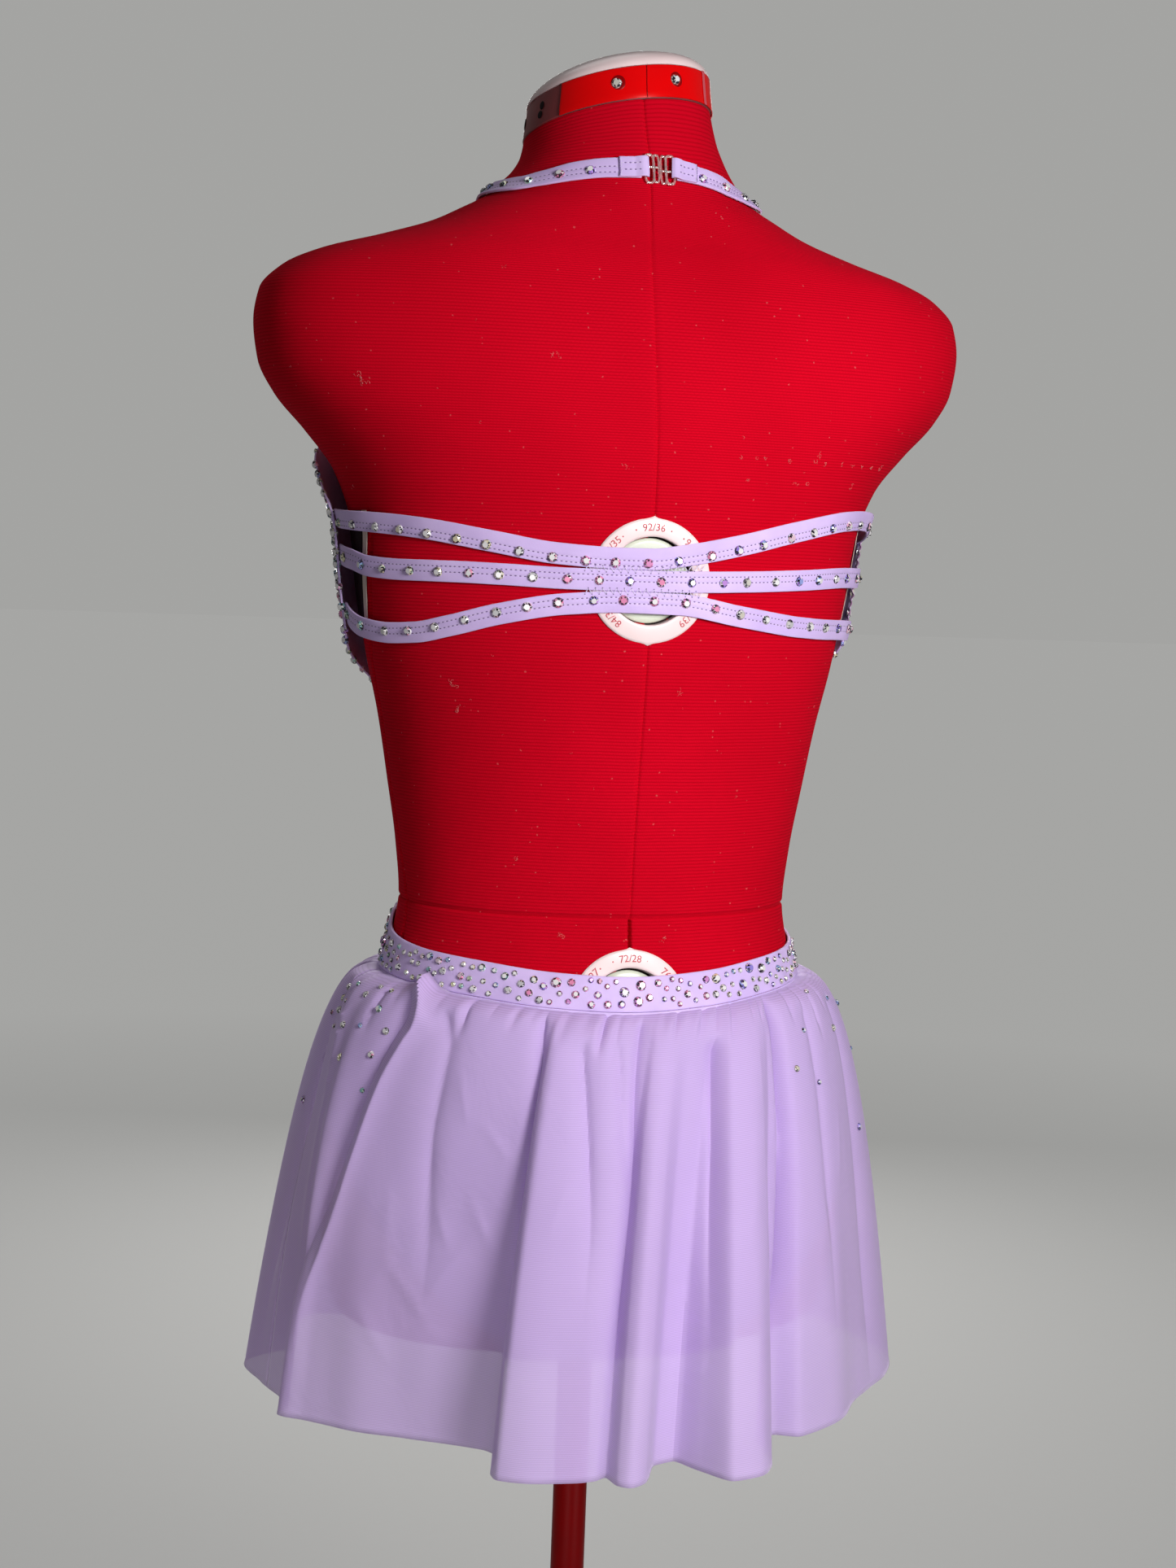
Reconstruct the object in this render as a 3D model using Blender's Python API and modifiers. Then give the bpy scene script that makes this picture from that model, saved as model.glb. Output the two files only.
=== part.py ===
# A lyrical dance costume on its limbless dress form, seen as it stands on the floor.
# Metres, +Z up. The wearer faces -Y and the wearer's left is +X.
# The origin is on the floor under the pole.
# Every cloth piece is worked out from the form's own surface, moved out.

from collections import namedtuple
from math import asin, cos, degrees, exp, hypot, pi, radians, sin

import bmesh
import bpy
from mathutils import Matrix, Vector

# Cloth and clearances
CLOTH_WALL = 0.0012
STRAP_WALL = 0.0015
BAND_WALL = 0.0024
FORM_GAP = 0.0009
BRIEF_GAP = 0.0018
BODICE_GAP = 0.0021
NECK_GAP = 0.0012
SEAM_GAP = 0.0003
SEAM_SPLIT = 0.0005
DIAL_RISE = 0.0010
DIAL_EASE_START = 0.004
DIAL_EASE_END = 0.026

# Straps and clasp
STRAP_WIDTH = 0.0125
NECK_STRAP_WIDTH = 0.0130
SIDE_STAND_OFF = 0.0080
STRAP_STAND_OFF = 0.0066
STRAP_EASE_START = 58.0
STRAP_EASE_END = 90.0
STRAP_END_TURN = 92.6
BODICE_EASE_START = 90.0
BODICE_EASE_END = 145.0
BODICE_EASE_LOW = 1.070
BODICE_EASE_HIGH = 1.120
CLASP_LENGTH = 0.0098
CLASP_HEIGHT = 0.0190
CLASP_THICKNESS = 0.0018
CLASP_CORNER = 0.0018
CLASP_SLOT_LENGTH = 0.0034
CLASP_SLOT_HEIGHT = 0.0140
CLASP_SLOT_SHIFT = 0.0020
CLASP_GAP = 0.0012
CLASP_TURN = -4.5
CLASP_LEVEL = 1.4030
NECK_BACK_RADIUS = 0.0695

# Bust of the form
BUST_SPREAD = 0.080
BUST_LEVEL = 1.175
BUST_DEPTH = 0.034
BUST_WIDTH = 0.062
BUST_DROP = 0.052
BUST_RISE = 0.065
CUP_SPAN = 0.75
BUST_EDGE = 3.0

# Form ends
FORM_BOTTOM = 0.690
FORM_ROUND = 0.012
EDGE_BENDS = (1.0, 0.6, 0.3)
NECK_TOP = 1.437
NECK_TILT = 0.17
NECK_LEAN = 0.16
NECK_SHIFT = 0.0035
TILT_START = 1.400
TILT_LENGTH = 0.040
FORM_COLUMNS = 40

# Plastic fittings of the form
NECK_BAND_HEIGHT = 0.0200
NECK_BAND_PROUD = 0.0012
NECK_BAND_EDGE = 0.0010
NECK_CAP_HEIGHT = 0.0190
NECK_CAP_RADIUS = 0.0550
NECK_CAP_PROUD = 0.0008
NECK_CAP_SHARES = (0.0, 0.25, 0.5, 0.7, 0.85, 0.96)
NECK_COLUMNS = 28
DIAL_RADIUS = 0.0370
DIAL_HOLE = 0.0260
KNOB_RADIUS = 0.0250
KNOB_HEART = 0.0125
DIAL_GAP = 0.0007
DIAL_THICKNESS = 0.0008
DIAL_EDGE = 0.0010
DIAL_EDGE_HEIGHT = 0.0003
BUST_DIAL_LEVEL = 1.160
WAIST_DIAL_LEVEL = 0.900
DIAL_SEGMENTS = 28

# Stand
POLE_RADIUS = 0.0110
POLE_EDGE = 0.0008
COLLAR_RADIUS = 0.0240
COLLAR_HEIGHT = 0.0120
COLLAR_EDGE = 0.0015
HUB_RADIUS = 0.0320
HUB_EDGE = 0.0040
HUB_BOTTOM = 0.0400
HUB_TOP = 0.1000
LEG_COUNT = 4
LEG_EDGE = 0.0035
TURNED_SIDES = 24

# Skirt
HEM_LEVEL = 0.643
HEM_HALF_WIDTH = 0.206
HEM_DEPTH = 0.176
SKIRT_COLUMNS = 152
SIDE_FLARE = 0.38
BACK_FLARE = 0.55
GATHER_COUNT = 36
GATHER_DEPTH = 0.0013
GATHER_PLACE = 0.045
GATHER_END = 0.30
HEM_SAMPLES = 721
SKIRT_OUT = BRIEF_GAP + CLOTH_WALL + 2 * SEAM_GAP
SKIRT_DROPS = (0.0, 0.045, 0.12, 0.24, 0.40, 0.59, 0.79, 1.0)

# Brief
BRIEF_ROWS = 9
GUSSET_INSET = 0.024
GUSSET_SHIFT = 0.057
GUSSET_WAIST = 0.52
BRIEF_BOTTOM_GAP = 0.0014
BRIEF_EASE_LOW = 0.715
BRIEF_EASE_HIGH = 0.745
BRIEF_SIDE_RADIUS = 0.150

Section = namedtuple("Section", "level half_width back front power")
FORM_SECTIONS = (
    Section(0.690, 0.159, 0.110, 0.099, 2.10),
    Section(0.725, 0.167, 0.117, 0.102, 2.10),
    Section(0.770, 0.169, 0.121, 0.106, 2.10),
    Section(0.810, 0.165, 0.120, 0.109, 2.10),
    Section(0.850, 0.154, 0.114, 0.109, 2.10),
    Section(0.890, 0.140, 0.103, 0.105, 2.05),
    Section(0.930, 0.129, 0.092, 0.100, 2.00),
    Section(0.957, 0.125, 0.088, 0.097, 2.00),
    Section(0.990, 0.128, 0.089, 0.098, 2.00),
    Section(1.030, 0.1345, 0.093, 0.102, 2.00),
    Section(1.070, 0.1415, 0.098, 0.106, 2.00),
    Section(1.110, 0.1505, 0.102, 0.109, 2.00),
    Section(1.150, 0.157, 0.104, 0.109, 2.05),
    Section(1.190, 0.162, 0.106, 0.107, 2.10),
    Section(1.220, 0.173, 0.107, 0.104, 2.15),
    Section(1.244, 0.192, 0.106, 0.100, 2.20),
    Section(1.265, 0.211, 0.103, 0.095, 2.30),
    Section(1.286, 0.222, 0.099, 0.089, 2.40),
    Section(1.310, 0.225, 0.093, 0.082, 2.50),
    Section(1.328, 0.222, 0.088, 0.077, 2.50),
    Section(1.342, 0.209, 0.083, 0.072, 2.50),
    Section(1.352, 0.188, 0.080, 0.069, 2.45),
    Section(1.362, 0.154, 0.077, 0.066, 2.40),
    Section(1.373, 0.121, 0.075, 0.063, 2.30),
    Section(1.383, 0.101, 0.073, 0.060, 2.20),
    Section(1.392, 0.085, 0.071, 0.058, 2.10),
    Section(1.402, 0.075, 0.068, 0.056, 2.00),
    Section(1.412, 0.067, 0.065, 0.054, 2.00),
    Section(1.424, 0.061, 0.062, 0.053, 2.00),
    Section(1.440, 0.0575, 0.059, 0.052, 2.00),
    Section(1.470, 0.055, 0.055, 0.052, 2.00),
)
FORM_LEVELS = (
    0.702, 0.735, 0.770, 0.810, 0.850, 0.890, 0.920, 0.939, 0.957, 0.975, 1.000, 1.035, 1.070, 1.100,
    1.125, 1.145, 1.165, 1.185, 1.205, 1.224, 1.242, 1.260, 1.278, 1.298, 1.316, 1.330, 1.342, 1.352,
    1.362, 1.373, 1.383, 1.391, 1.398, 1.405, 1.413, 1.424, NECK_TOP,
)

# Turn is the angle round the form: 0 at the centre back, growing to the wearer's left.
Edges = namedtuple("Edges", "turn lower upper")
WAISTBAND_EDGES = (
    Edges(0.0, 0.900, 0.9205),
    Edges(20.0, 0.902, 0.9225),
    Edges(42.0, 0.906, 0.9270),
    Edges(66.0, 0.909, 0.9305),
    Edges(90.0, 0.911, 0.9360),
    Edges(105.0, 0.912, 0.9450),
    Edges(130.0, 0.914, 0.9540),
    Edges(180.0, 0.916, 0.9580),
)

WAISTBAND_COLUMNS = 64

Outline = namedtuple("Outline", "level outer inner")
BODICE_OUTLINE = (
    Outline(0.9586, 160.0, 180.0),
    Outline(0.980, 157.0, 180.0),
    Outline(1.005, 151.0, 180.0),
    Outline(1.030, 143.0, 180.0),
    Outline(1.055, 133.0, 180.0),
    Outline(1.078, 122.0, 180.0),
    Outline(1.098, 108.0, 180.0),
    Outline(1.113, 97.0, 180.0),
    Outline(1.127, 91.0, 180.0),
    Outline(1.150, 91.0, 180.0),
    Outline(1.170, 91.0, 180.0),
    Outline(1.190, 91.0, 180.0),
    Outline(1.202, 91.0, 180.0),
    Outline(1.217, 99.0, 179.2),
    Outline(1.232, 107.5, 177.7),
    Outline(1.250, 128.0, 175.4),
    Outline(1.268, 144.0, 173.6),
    Outline(1.286, 153.0, 171.5),
    Outline(1.304, 159.0, 169.2),
    Outline(1.322, 163.0, 166.6),
)
BODICE_COLUMNS = 12

Place = namedtuple("Place", "turn level")
BACK_STRAPS = {
    "back_strap_upper": (
        Place(STRAP_END_TURN, 1.1930), Place(73.0, 1.1900), Place(51.0, 1.1860), Place(34.0, 1.1800),
        Place(20.0, 1.1745), Place(7.0, 1.1728), Place(0.0, 1.1730), Place(-6.0, 1.1755),
        Place(-20.0, 1.1835), Place(-35.0, 1.1930), Place(-54.0, 1.2010), Place(-72.0, 1.2030),
        Place(-STRAP_END_TURN, 1.1950),
    ),
    "back_strap_middle": (
        Place(STRAP_END_TURN, 1.1700), Place(82.0, 1.1670), Place(73.0, 1.1630), Place(60.0, 1.1615),
        Place(45.0, 1.1615), Place(32.0, 1.1610), Place(17.0, 1.1600), Place(0.0, 1.1600),
        Place(-21.0, 1.1615), Place(-38.0, 1.1635), Place(-60.0, 1.1660), Place(-STRAP_END_TURN, 1.1670),
    ),
    "back_strap_lower": (
        Place(STRAP_END_TURN, 1.1350), Place(80.0, 1.1265), Place(68.0, 1.1235), Place(58.0, 1.1245),
        Place(46.0, 1.1300), Place(33.0, 1.1380), Place(18.0, 1.1450), Place(6.0, 1.1472),
        Place(-6.0, 1.1468), Place(-22.0, 1.1405), Place(-41.0, 1.1350), Place(-57.0, 1.1335),
        Place(-STRAP_END_TURN, 1.1330),
    ),
}
BACK_STRAP_STATIONS = 44
NECK_STRAP_PATH = (
    Place(164.8, 1.3240), Place(162.7, 1.3400), Place(155.3, 1.3600), Place(139.8, 1.3780),
    Place(118.0, 1.3905), Place(96.0, 1.3945), Place(76.0, 1.3935), Place(60.0, 1.3935),
    Place(48.0, 1.3960), Place(34.0, 1.4000), Place(20.0, 1.4022),
)
NECK_STRAP_STATIONS = 34
NECK_STRAP_EASE = 4

LegOpening = namedtuple("LegOpening", "turn lower")
BRIEF_BACK_EDGE = (
    LegOpening(0.0, 0.0), LegOpening(26.0, 0.0), LegOpening(34.0, 0.010), LegOpening(44.0, 0.030),
    LegOpening(60.0, 0.066), LegOpening(76.0, 0.096), LegOpening(90.0, 0.112),
)
BRIEF_FRONT_EDGE = (
    LegOpening(90.0, 0.112), LegOpening(106.0, 0.104), LegOpening(122.0, 0.084),
    LegOpening(138.0, 0.052), LegOpening(150.0, 0.020), LegOpening(158.0, 0.0),
    LegOpening(180.0, 0.0),
)
BRIEF_BOTTOM = 0.706
GUSSET_BACK_TURN = radians(26.0)
GUSSET_FRONT_TURN = radians(22.0)
GUSSET_COLUMNS = 5
GUSSET_EDGE_ROWS = 5
GUSSET_UNDER_ROWS = 11
GUSSET_BEND = 0.34

# One row for each bend of the hem: where it is at the hem and at the waistband, and how far out it stands.
Fold = namedtuple("Fold", "hem_turn top_turn stand")
SKIRT_FOLDS = (
    Fold(-180.0, -180.0, -0.010), Fold(-172.0, -173.0, 0.014), Fold(-160.0, -161.0, 0.012),
    Fold(-152.0, -152.0, -0.022), Fold(-144.0, -144.0, 0.010), Fold(-130.0, -130.0, 0.015),
    Fold(-121.0, -121.0, -0.016), Fold(-112.0, -112.0, 0.012), Fold(-100.0, -99.0, 0.010),
    Fold(-89.0, -87.0, 0.011), Fold(-79.0, -77.0, 0.000), Fold(-64.0, -64.0, -0.016),
    Fold(-48.0, -53.0, -0.010), Fold(-38.0, -45.0, -0.010), Fold(-31.0, -40.0, -0.026),
    Fold(-24.0, -36.0, 0.006), Fold(-18.0, -32.0, 0.023), Fold(-13.0, -28.0, 0.024),
    Fold(-9.5, -25.0, 0.004), Fold(-6.5, -22.0, -0.018), Fold(-2.0, -17.0, -0.014),
    Fold(2.5, -12.0, 0.016), Fold(5.0, -9.5, 0.021), Fold(9.0, -6.0, 0.003),
    Fold(15.0, 2.0, 0.010), Fold(22.0, 9.0, 0.015), Fold(28.0, 15.0, 0.008),
    Fold(33.5, 20.0, -0.036), Fold(42.0, 30.0, -0.037), Fold(52.0, 43.0, -0.029),
    Fold(63.0, 57.0, -0.018), Fold(77.0, 71.0, 0.001), Fold(84.0, 80.0, -0.007),
    Fold(93.0, 91.0, -0.002), Fold(103.0, 103.0, 0.010), Fold(113.0, 113.0, -0.012),
    Fold(122.0, 122.0, 0.013), Fold(132.0, 132.0, 0.015), Fold(140.0, 140.0, -0.020),
    Fold(149.0, 149.0, 0.012), Fold(161.0, 161.0, 0.015), Fold(170.0, 170.0, -0.016),
    Fold(180.0, 180.0, -0.010),
)

LegStation = namedtuple("LegStation", "reach bottom top width")
LEG_STATIONS = (
    LegStation(HUB_RADIUS + SEAM_GAP, 0.050, 0.084, 0.030),
    LegStation(0.070, 0.049, 0.081, 0.030),
    LegStation(0.120, 0.038, 0.066, 0.028),
    LegStation(0.170, 0.019, 0.045, 0.026),
    LegStation(0.222, 0.000, 0.025, 0.026),
    LegStation(0.258, 0.000, 0.016, 0.026),
    LegStation(0.272, 0.002, 0.012, 0.020),
)

RED_KNIT = (0.55, 0.004, 0.012, 1.0)
RED_PLASTIC = (0.62, 0.01, 0.012, 1.0)
PINK_WHITE = (0.80, 0.66, 0.64, 1.0)
LAVENDER = (0.46, 0.34, 0.72, 1.0)
SHEER_LAVENDER = (0.50, 0.38, 0.76, 1.0)
CLEAR_PLASTIC = (0.80, 0.70, 0.70, 1.0)
SHARP_ANGLE = radians(40.0)
HEART_OF_FORM = Vector((0.0, 0.0, 1.0))


def clear_scene():
    for thing in list(bpy.data.objects):
        bpy.data.objects.remove(thing, do_unlink=True)


def make_material(name, colour, roughness, metallic=0.0):
    material = bpy.data.materials.new(name)
    material.use_nodes = True
    shader = material.node_tree.nodes["Principled BSDF"]
    shader.inputs["Base Color"].default_value = colour
    shader.inputs["Roughness"].default_value = roughness
    shader.inputs["Metallic"].default_value = metallic
    material.diffuse_color = colour
    return material


# Tables read as smooth curves

def read_table(rows, at):
    """Values of every later column at one value of the first, without overshoot between rows."""
    keys = [row[0] for row in rows]
    at = min(max(at, keys[0]), keys[-1])
    place = 0
    while place < len(keys) - 2 and at > keys[place + 1]:
        place += 1
    span = keys[place + 1] - keys[place]
    part = (at - keys[place]) / span
    values = []
    for column in range(1, len(rows[0])):
        low = slope_at(rows, place, column)
        high = slope_at(rows, place + 1, column)
        first, last = rows[place][column], rows[place + 1][column]
        values.append(
            (2 * part**3 - 3 * part**2 + 1) * first + (part**3 - 2 * part**2 + part) * span * low
            + (3 * part**2 - 2 * part**3) * last + (part**3 - part**2) * span * high
        )
    return values


def slope_at(rows, place, column):
    """Slope of a column at a row: the harmonic mean of its two sides, or none at a crest or valley."""
    if place in (0, len(rows) - 1):
        return 0.0
    before = (rows[place][column] - rows[place - 1][column]) / (rows[place][0] - rows[place - 1][0])
    after = (rows[place + 1][column] - rows[place][column]) / (rows[place + 1][0] - rows[place][0])
    if before * after <= 0.0:
        return 0.0
    return 2 * before * after / (before + after)


def smooth_step(value, start, end):
    part = min(max((value - start) / (end - start), 0.0), 1.0)
    return part * part * (3.0 - 2.0 * part)


# The form's surface

def signed_power(value, power):
    return abs(value) ** power * (1.0 if value >= 0.0 else -1.0)


def section_point(half_width, back, front, power, turn):
    across = half_width * signed_power(sin(turn), 2.0 / power)
    depth = back if cos(turn) > 0.0 else front
    return across, depth * signed_power(cos(turn), 2.0 / power)


def bust(across, level):
    """How far the bust stands forward of the plain section at a place."""
    spread = BUST_DROP if level < BUST_LEVEL else BUST_RISE
    height = exp(-((level - BUST_LEVEL) / spread) ** 2)
    sides = sum(exp(-((across - side * BUST_SPREAD) / BUST_WIDTH) ** 2) for side in (-1, 1))
    return BUST_DEPTH * height * sides


def bare_form_point(level, turn):
    """A point of the form. Below the rounded edge, level runs on inwards along the flat bottom."""
    round_top = FORM_BOTTOM + FORM_ROUND
    edge = max(round_top - level, 0.0)
    bend = min(edge / FORM_ROUND, pi / 2)
    inset = FORM_ROUND * (1.0 - cos(bend)) + max(edge - FORM_ROUND * pi / 2, 0.0)
    height = max(level, round_top) - FORM_ROUND * sin(bend)
    half_width, back, front, power = read_table(FORM_SECTIONS, max(level, round_top))
    across, depth = section_point(half_width - inset, back - inset, front - inset, power, turn)
    if depth < 0.0:
        depth -= bust(across, height) * min(1.0, -BUST_EDGE * cos(turn))
    return lean_neck(across, depth, height)


def lean_neck(across, depth, height):
    """The neck leans forward and to the wearer's left towards its top."""
    tilt = min(max((height - TILT_START) / TILT_LENGTH, 0.0), 1.0)
    lean = NECK_TILT * depth - NECK_LEAN * across
    return Vector((across + NECK_SHIFT * tilt, depth, height + lean * tilt))


def form_frame(level, turn):
    """Point, the two tangents and the outward normal of the form at a place."""
    step = 0.0015
    turn_step = radians(0.6)
    point = bare_form_point(level, turn)
    upward = bare_form_point(level + step, turn) - bare_form_point(level - step, turn)
    round_way = bare_form_point(level, turn + turn_step) - bare_form_point(level, turn - turn_step)
    normal = upward.cross(round_way).normalized()
    return point, upward / (2 * step), round_way / (2 * turn_step), normal


def form_point(level, turn, out=0.0):
    point, upward, round_way, normal = form_frame(level, turn)
    return point + normal * out


def turn_at(across, level, back=True):
    """The turn where the form is this far across, on its back or its front."""
    half_width, _, _, power = read_table(FORM_SECTIONS, level)
    share = min(abs(across) / half_width, 1.0)
    angle = asin(share ** (power / 2.0))
    angle = angle if back else pi - angle
    return angle if across >= 0.0 else -angle


def dial_rise(level, turn):
    """Extra height of cloth that passes over a dial."""
    across = bare_form_point(level, turn).x
    rise = 0.0
    if cos(turn) > 0.0:
        for centre in (BUST_DIAL_LEVEL, WAIST_DIAL_LEVEL):
            away = hypot(across, level - centre)
            ease = smooth_step(away, DIAL_RADIUS + DIAL_EASE_START, DIAL_RADIUS + DIAL_EASE_END)
            rise = max(rise, 1.0 - ease)
    return DIAL_RISE * rise


def strap_stand_off(turn):
    """A back strap leaves the form near the side, where it is sewn under the bodice's edge."""
    return STRAP_STAND_OFF * smooth_step(abs(degrees(turn)), STRAP_EASE_START, STRAP_EASE_END)


# Mesh makers

def new_object(name, mesh, material, collection, smooth=True):
    thing = bpy.data.objects.new(name, mesh)
    mesh.materials.append(material)
    if smooth:
        mesh.shade_smooth()
        mesh.set_sharp_from_angle(angle=SHARP_ANGLE)
    collection.objects.link(thing)
    return thing


def add_rows(shape, rows, ring):
    """Quads between rows of points; a ring row joins its last point to its first."""
    grid = [[shape.verts.new(point) for point in row] for row in rows]
    count = len(grid[0])
    for lower, upper in zip(grid, grid[1:]):
        for place in range(count if ring else count - 1):
            after = (place + 1) % count
            shape.faces.new((lower[place], upper[place], upper[after], lower[after]))
    return grid


def turn_faces_out(shape):
    facing = 0.0
    for face in shape.faces:
        facing += face.normal.dot(face.calc_center_median() - HEART_OF_FORM) * face.calc_area()
    if facing < 0.0:
        bmesh.ops.reverse_faces(shape, faces=shape.faces[:])


def make_cloth(name, rows, wall, material, collection, ring=False):
    """A cloth wall: its inner side is the rows of points, and its thickness goes outwards."""
    shape = bmesh.new()
    add_rows(shape, rows, ring)
    shape.normal_update()
    turn_faces_out(shape)
    mesh = bpy.data.meshes.new(name)
    shape.to_mesh(mesh)
    shape.free()
    cloth = new_object(name, mesh, material, collection)
    solid = cloth.modifiers.new("Cloth wall", "SOLIDIFY")
    solid.thickness = wall
    solid.offset = 1.0
    solid.use_even_offset = True
    solid.use_rim = True
    return cloth


def make_loft(name, rings, material, collection):
    """A closed body through rings from bottom to top, with flat ends."""
    shape = bmesh.new()
    grid = add_rows(shape, rings, True)
    shape.faces.new(grid[0])
    shape.faces.new(reversed(grid[-1]))
    bmesh.ops.recalc_face_normals(shape, faces=shape.faces[:])
    mesh = bpy.data.meshes.new(name)
    shape.to_mesh(mesh)
    shape.free()
    return new_object(name, mesh, material, collection)


def make_turned_ring(name, rings, material, collection):
    """A closed ring body: each row is one ring, and the last row joins the first."""
    shape = bmesh.new()
    add_rows(shape, rings + rings[:1], True)
    bmesh.ops.remove_doubles(shape, verts=shape.verts[:], dist=0.00001)
    bmesh.ops.recalc_face_normals(shape, faces=shape.faces[:])
    mesh = bpy.data.meshes.new(name)
    shape.to_mesh(mesh)
    shape.free()
    return new_object(name, mesh, material, collection)


def make_cylinder(name, radius, bottom, top, edge, material, collection):
    bpy.ops.mesh.primitive_cylinder_add(
        vertices=TURNED_SIDES, radius=radius, depth=top - bottom, location=(0.0, 0.0, (top + bottom) / 2)
    )
    thing = bpy.context.object
    thing.name = name
    for owner in list(thing.users_collection):
        owner.objects.unlink(thing)
    collection.objects.link(thing)
    thing.data.materials.append(material)
    thing.data.shade_smooth()
    thing.data.set_sharp_from_angle(angle=SHARP_ANGLE)
    bevel = thing.modifiers.new("Edges", "BEVEL")
    bevel.width = edge
    bevel.segments = 1
    bevel.limit_method = "ANGLE"
    return thing


def full_turn(count):
    return [2 * pi * place / count for place in range(count)]


def between(first, last, count):
    return [first + (last - first) * place / (count - 1) for place in range(count)]


# The dress form

def make_torso(material, collection):
    turns = full_turn(FORM_COLUMNS)
    bends = [FORM_ROUND * pi / 2 * share for share in EDGE_BENDS]
    levels = [FORM_BOTTOM + FORM_ROUND - bend for bend in bends] + list(FORM_LEVELS)
    rings = [[bare_form_point(level, turn) for turn in turns] for level in levels]
    make_loft("form_torso", rings, material, collection)


def neck_ring(level, proud, rise=0.0):
    half_width, back, front, power = read_table(FORM_SECTIONS, level)
    ring = []
    for turn in full_turn(NECK_COLUMNS):
        across, depth = section_point(half_width + proud, back + proud, front + proud, power, turn)
        ring.append(lean_neck(across, depth, level + rise))
    return ring


def make_neck_fittings(band_material, cap_material, collection):
    bottom = NECK_TOP + SEAM_GAP
    top = bottom + NECK_BAND_HEIGHT
    band = [
        neck_ring(bottom, 0.0), neck_ring(bottom + NECK_BAND_EDGE, NECK_BAND_PROUD),
        neck_ring(top - NECK_BAND_EDGE, NECK_BAND_PROUD), neck_ring(top, 0.0),
    ]
    make_loft("form_neck_band", band, band_material, collection)
    start = top + SEAM_GAP
    cap = []
    for share in NECK_CAP_SHARES:
        inset = NECK_CAP_RADIUS * (1.0 - (1.0 - share * share) ** 0.5)
        cap.append(neck_ring(start, NECK_CAP_PROUD - inset, NECK_CAP_HEIGHT * share))
    make_loft("form_neck_cap", cap, cap_material, collection)


def dial_point(centre, radius, angle, out):
    across = radius * sin(angle)
    level = centre + radius * cos(angle)
    return form_point(level, turn_at(across, level), out)


def make_dial(place, centre, material, collection):
    """A dial's ring and the knob within it, both bent to the form's back."""
    low, high = DIAL_GAP, DIAL_GAP + DIAL_THICKNESS
    angles = full_turn(DIAL_SEGMENTS)
    loop = (
        (DIAL_HOLE, low), (DIAL_HOLE, high), (DIAL_RADIUS - DIAL_EDGE, high),
        (DIAL_RADIUS, low + DIAL_EDGE_HEIGHT), (DIAL_RADIUS, low),
    )
    rings = [[dial_point(centre, radius, angle, out) for angle in angles] for radius, out in loop]
    make_turned_ring(f"form_dial_{place}", rings, material, collection)
    knob_loop = ((KNOB_HEART, low), (KNOB_RADIUS, low), (KNOB_RADIUS, high), (KNOB_HEART, high))
    rings = [[dial_point(centre, radius, angle, out) for angle in angles] for radius, out in knob_loop]
    make_loft(f"form_knob_{place}", rings, material, collection)


def make_stand(material, collection):
    collar_top = FORM_BOTTOM - SEAM_GAP
    collar_bottom = collar_top - COLLAR_HEIGHT
    pole_bottom = HUB_TOP + SEAM_GAP
    pole_top = collar_bottom - SEAM_GAP
    make_cylinder("form_collar", COLLAR_RADIUS, collar_bottom, collar_top, COLLAR_EDGE, material, collection)
    make_cylinder("stand_pole", POLE_RADIUS, pole_bottom, pole_top, POLE_EDGE, material, collection)
    make_cylinder("stand_hub", HUB_RADIUS, HUB_BOTTOM, HUB_TOP, HUB_EDGE, material, collection)
    sides = ("back", "left", "front", "right")
    for place in range(LEG_COUNT):
        angle = 2 * pi * place / LEG_COUNT
        outward = Vector((sin(angle), cos(angle), 0.0))
        sideways = Vector((cos(angle), -sin(angle), 0.0))
        rings = []
        for station in LEG_STATIONS:
            half = station.width / 2
            shoulder = station.top - LEG_EDGE
            corners = (
                (-half, station.bottom), (half, station.bottom), (half, shoulder),
                (half - LEG_EDGE, station.top), (LEG_EDGE - half, station.top), (-half, shoulder),
            )
            middle = outward * station.reach
            rings.append([middle + sideways * side + Vector((0.0, 0.0, height)) for side, height in corners])
        make_loft(f"stand_leg_{sides[place]}", rings, material, collection)


# The costume

def band_edges(turn):
    return read_table(WAISTBAND_EDGES, abs(degrees(turn)))


def make_waistband(material, collection):
    turns = full_turn(WAISTBAND_COLUMNS)
    rows = []
    for share in (0.0, 1.0):
        row = []
        for turn in turns:
            turn = turn if turn <= pi else turn - 2 * pi
            lower, upper = band_edges(turn)
            level = lower + (upper - lower) * share
            row.append(form_point(level, turn, FORM_GAP + dial_rise(level, turn)))
        rows.append(row)
    make_cloth("waistband", rows, BAND_WALL, material, collection, ring=True)


def bodice_out(level, turn):
    """How far the bodice's inner side is from the form: held off at the side and between the cups."""
    side = 1.0 - smooth_step(abs(degrees(turn)), BODICE_EASE_START, BODICE_EASE_END)
    stand_off = SIDE_STAND_OFF * side * smooth_step(level, BODICE_EASE_LOW, BODICE_EASE_HIGH)
    across = abs(bare_form_point(level, turn).x)
    span = 0.0
    if across < BUST_SPREAD:
        span = CUP_SPAN * max(bust(BUST_SPREAD, level) - bust(across, level), 0.0)
    return BODICE_GAP + stand_off + span


def make_bodice(side, material, collection):
    """One half of the halter front; side is 1 for the wearer's left."""
    half_gap = SEAM_SPLIT / 2
    rows = []
    for line in BODICE_OUTLINE:
        inner = radians(line.inner)
        if line.inner == 180.0:
            inner = turn_at(half_gap, line.level, back=False)
        row = []
        for turn in between(radians(line.outer), inner, BODICE_COLUMNS):
            row.append(form_point(line.level, side * turn, bodice_out(line.level, turn)))
        rows.append(row)
    name = "bodice_left" if side > 0 else "bodice_right"
    make_cloth(name, rows, CLOTH_WALL, material, collection)


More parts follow.
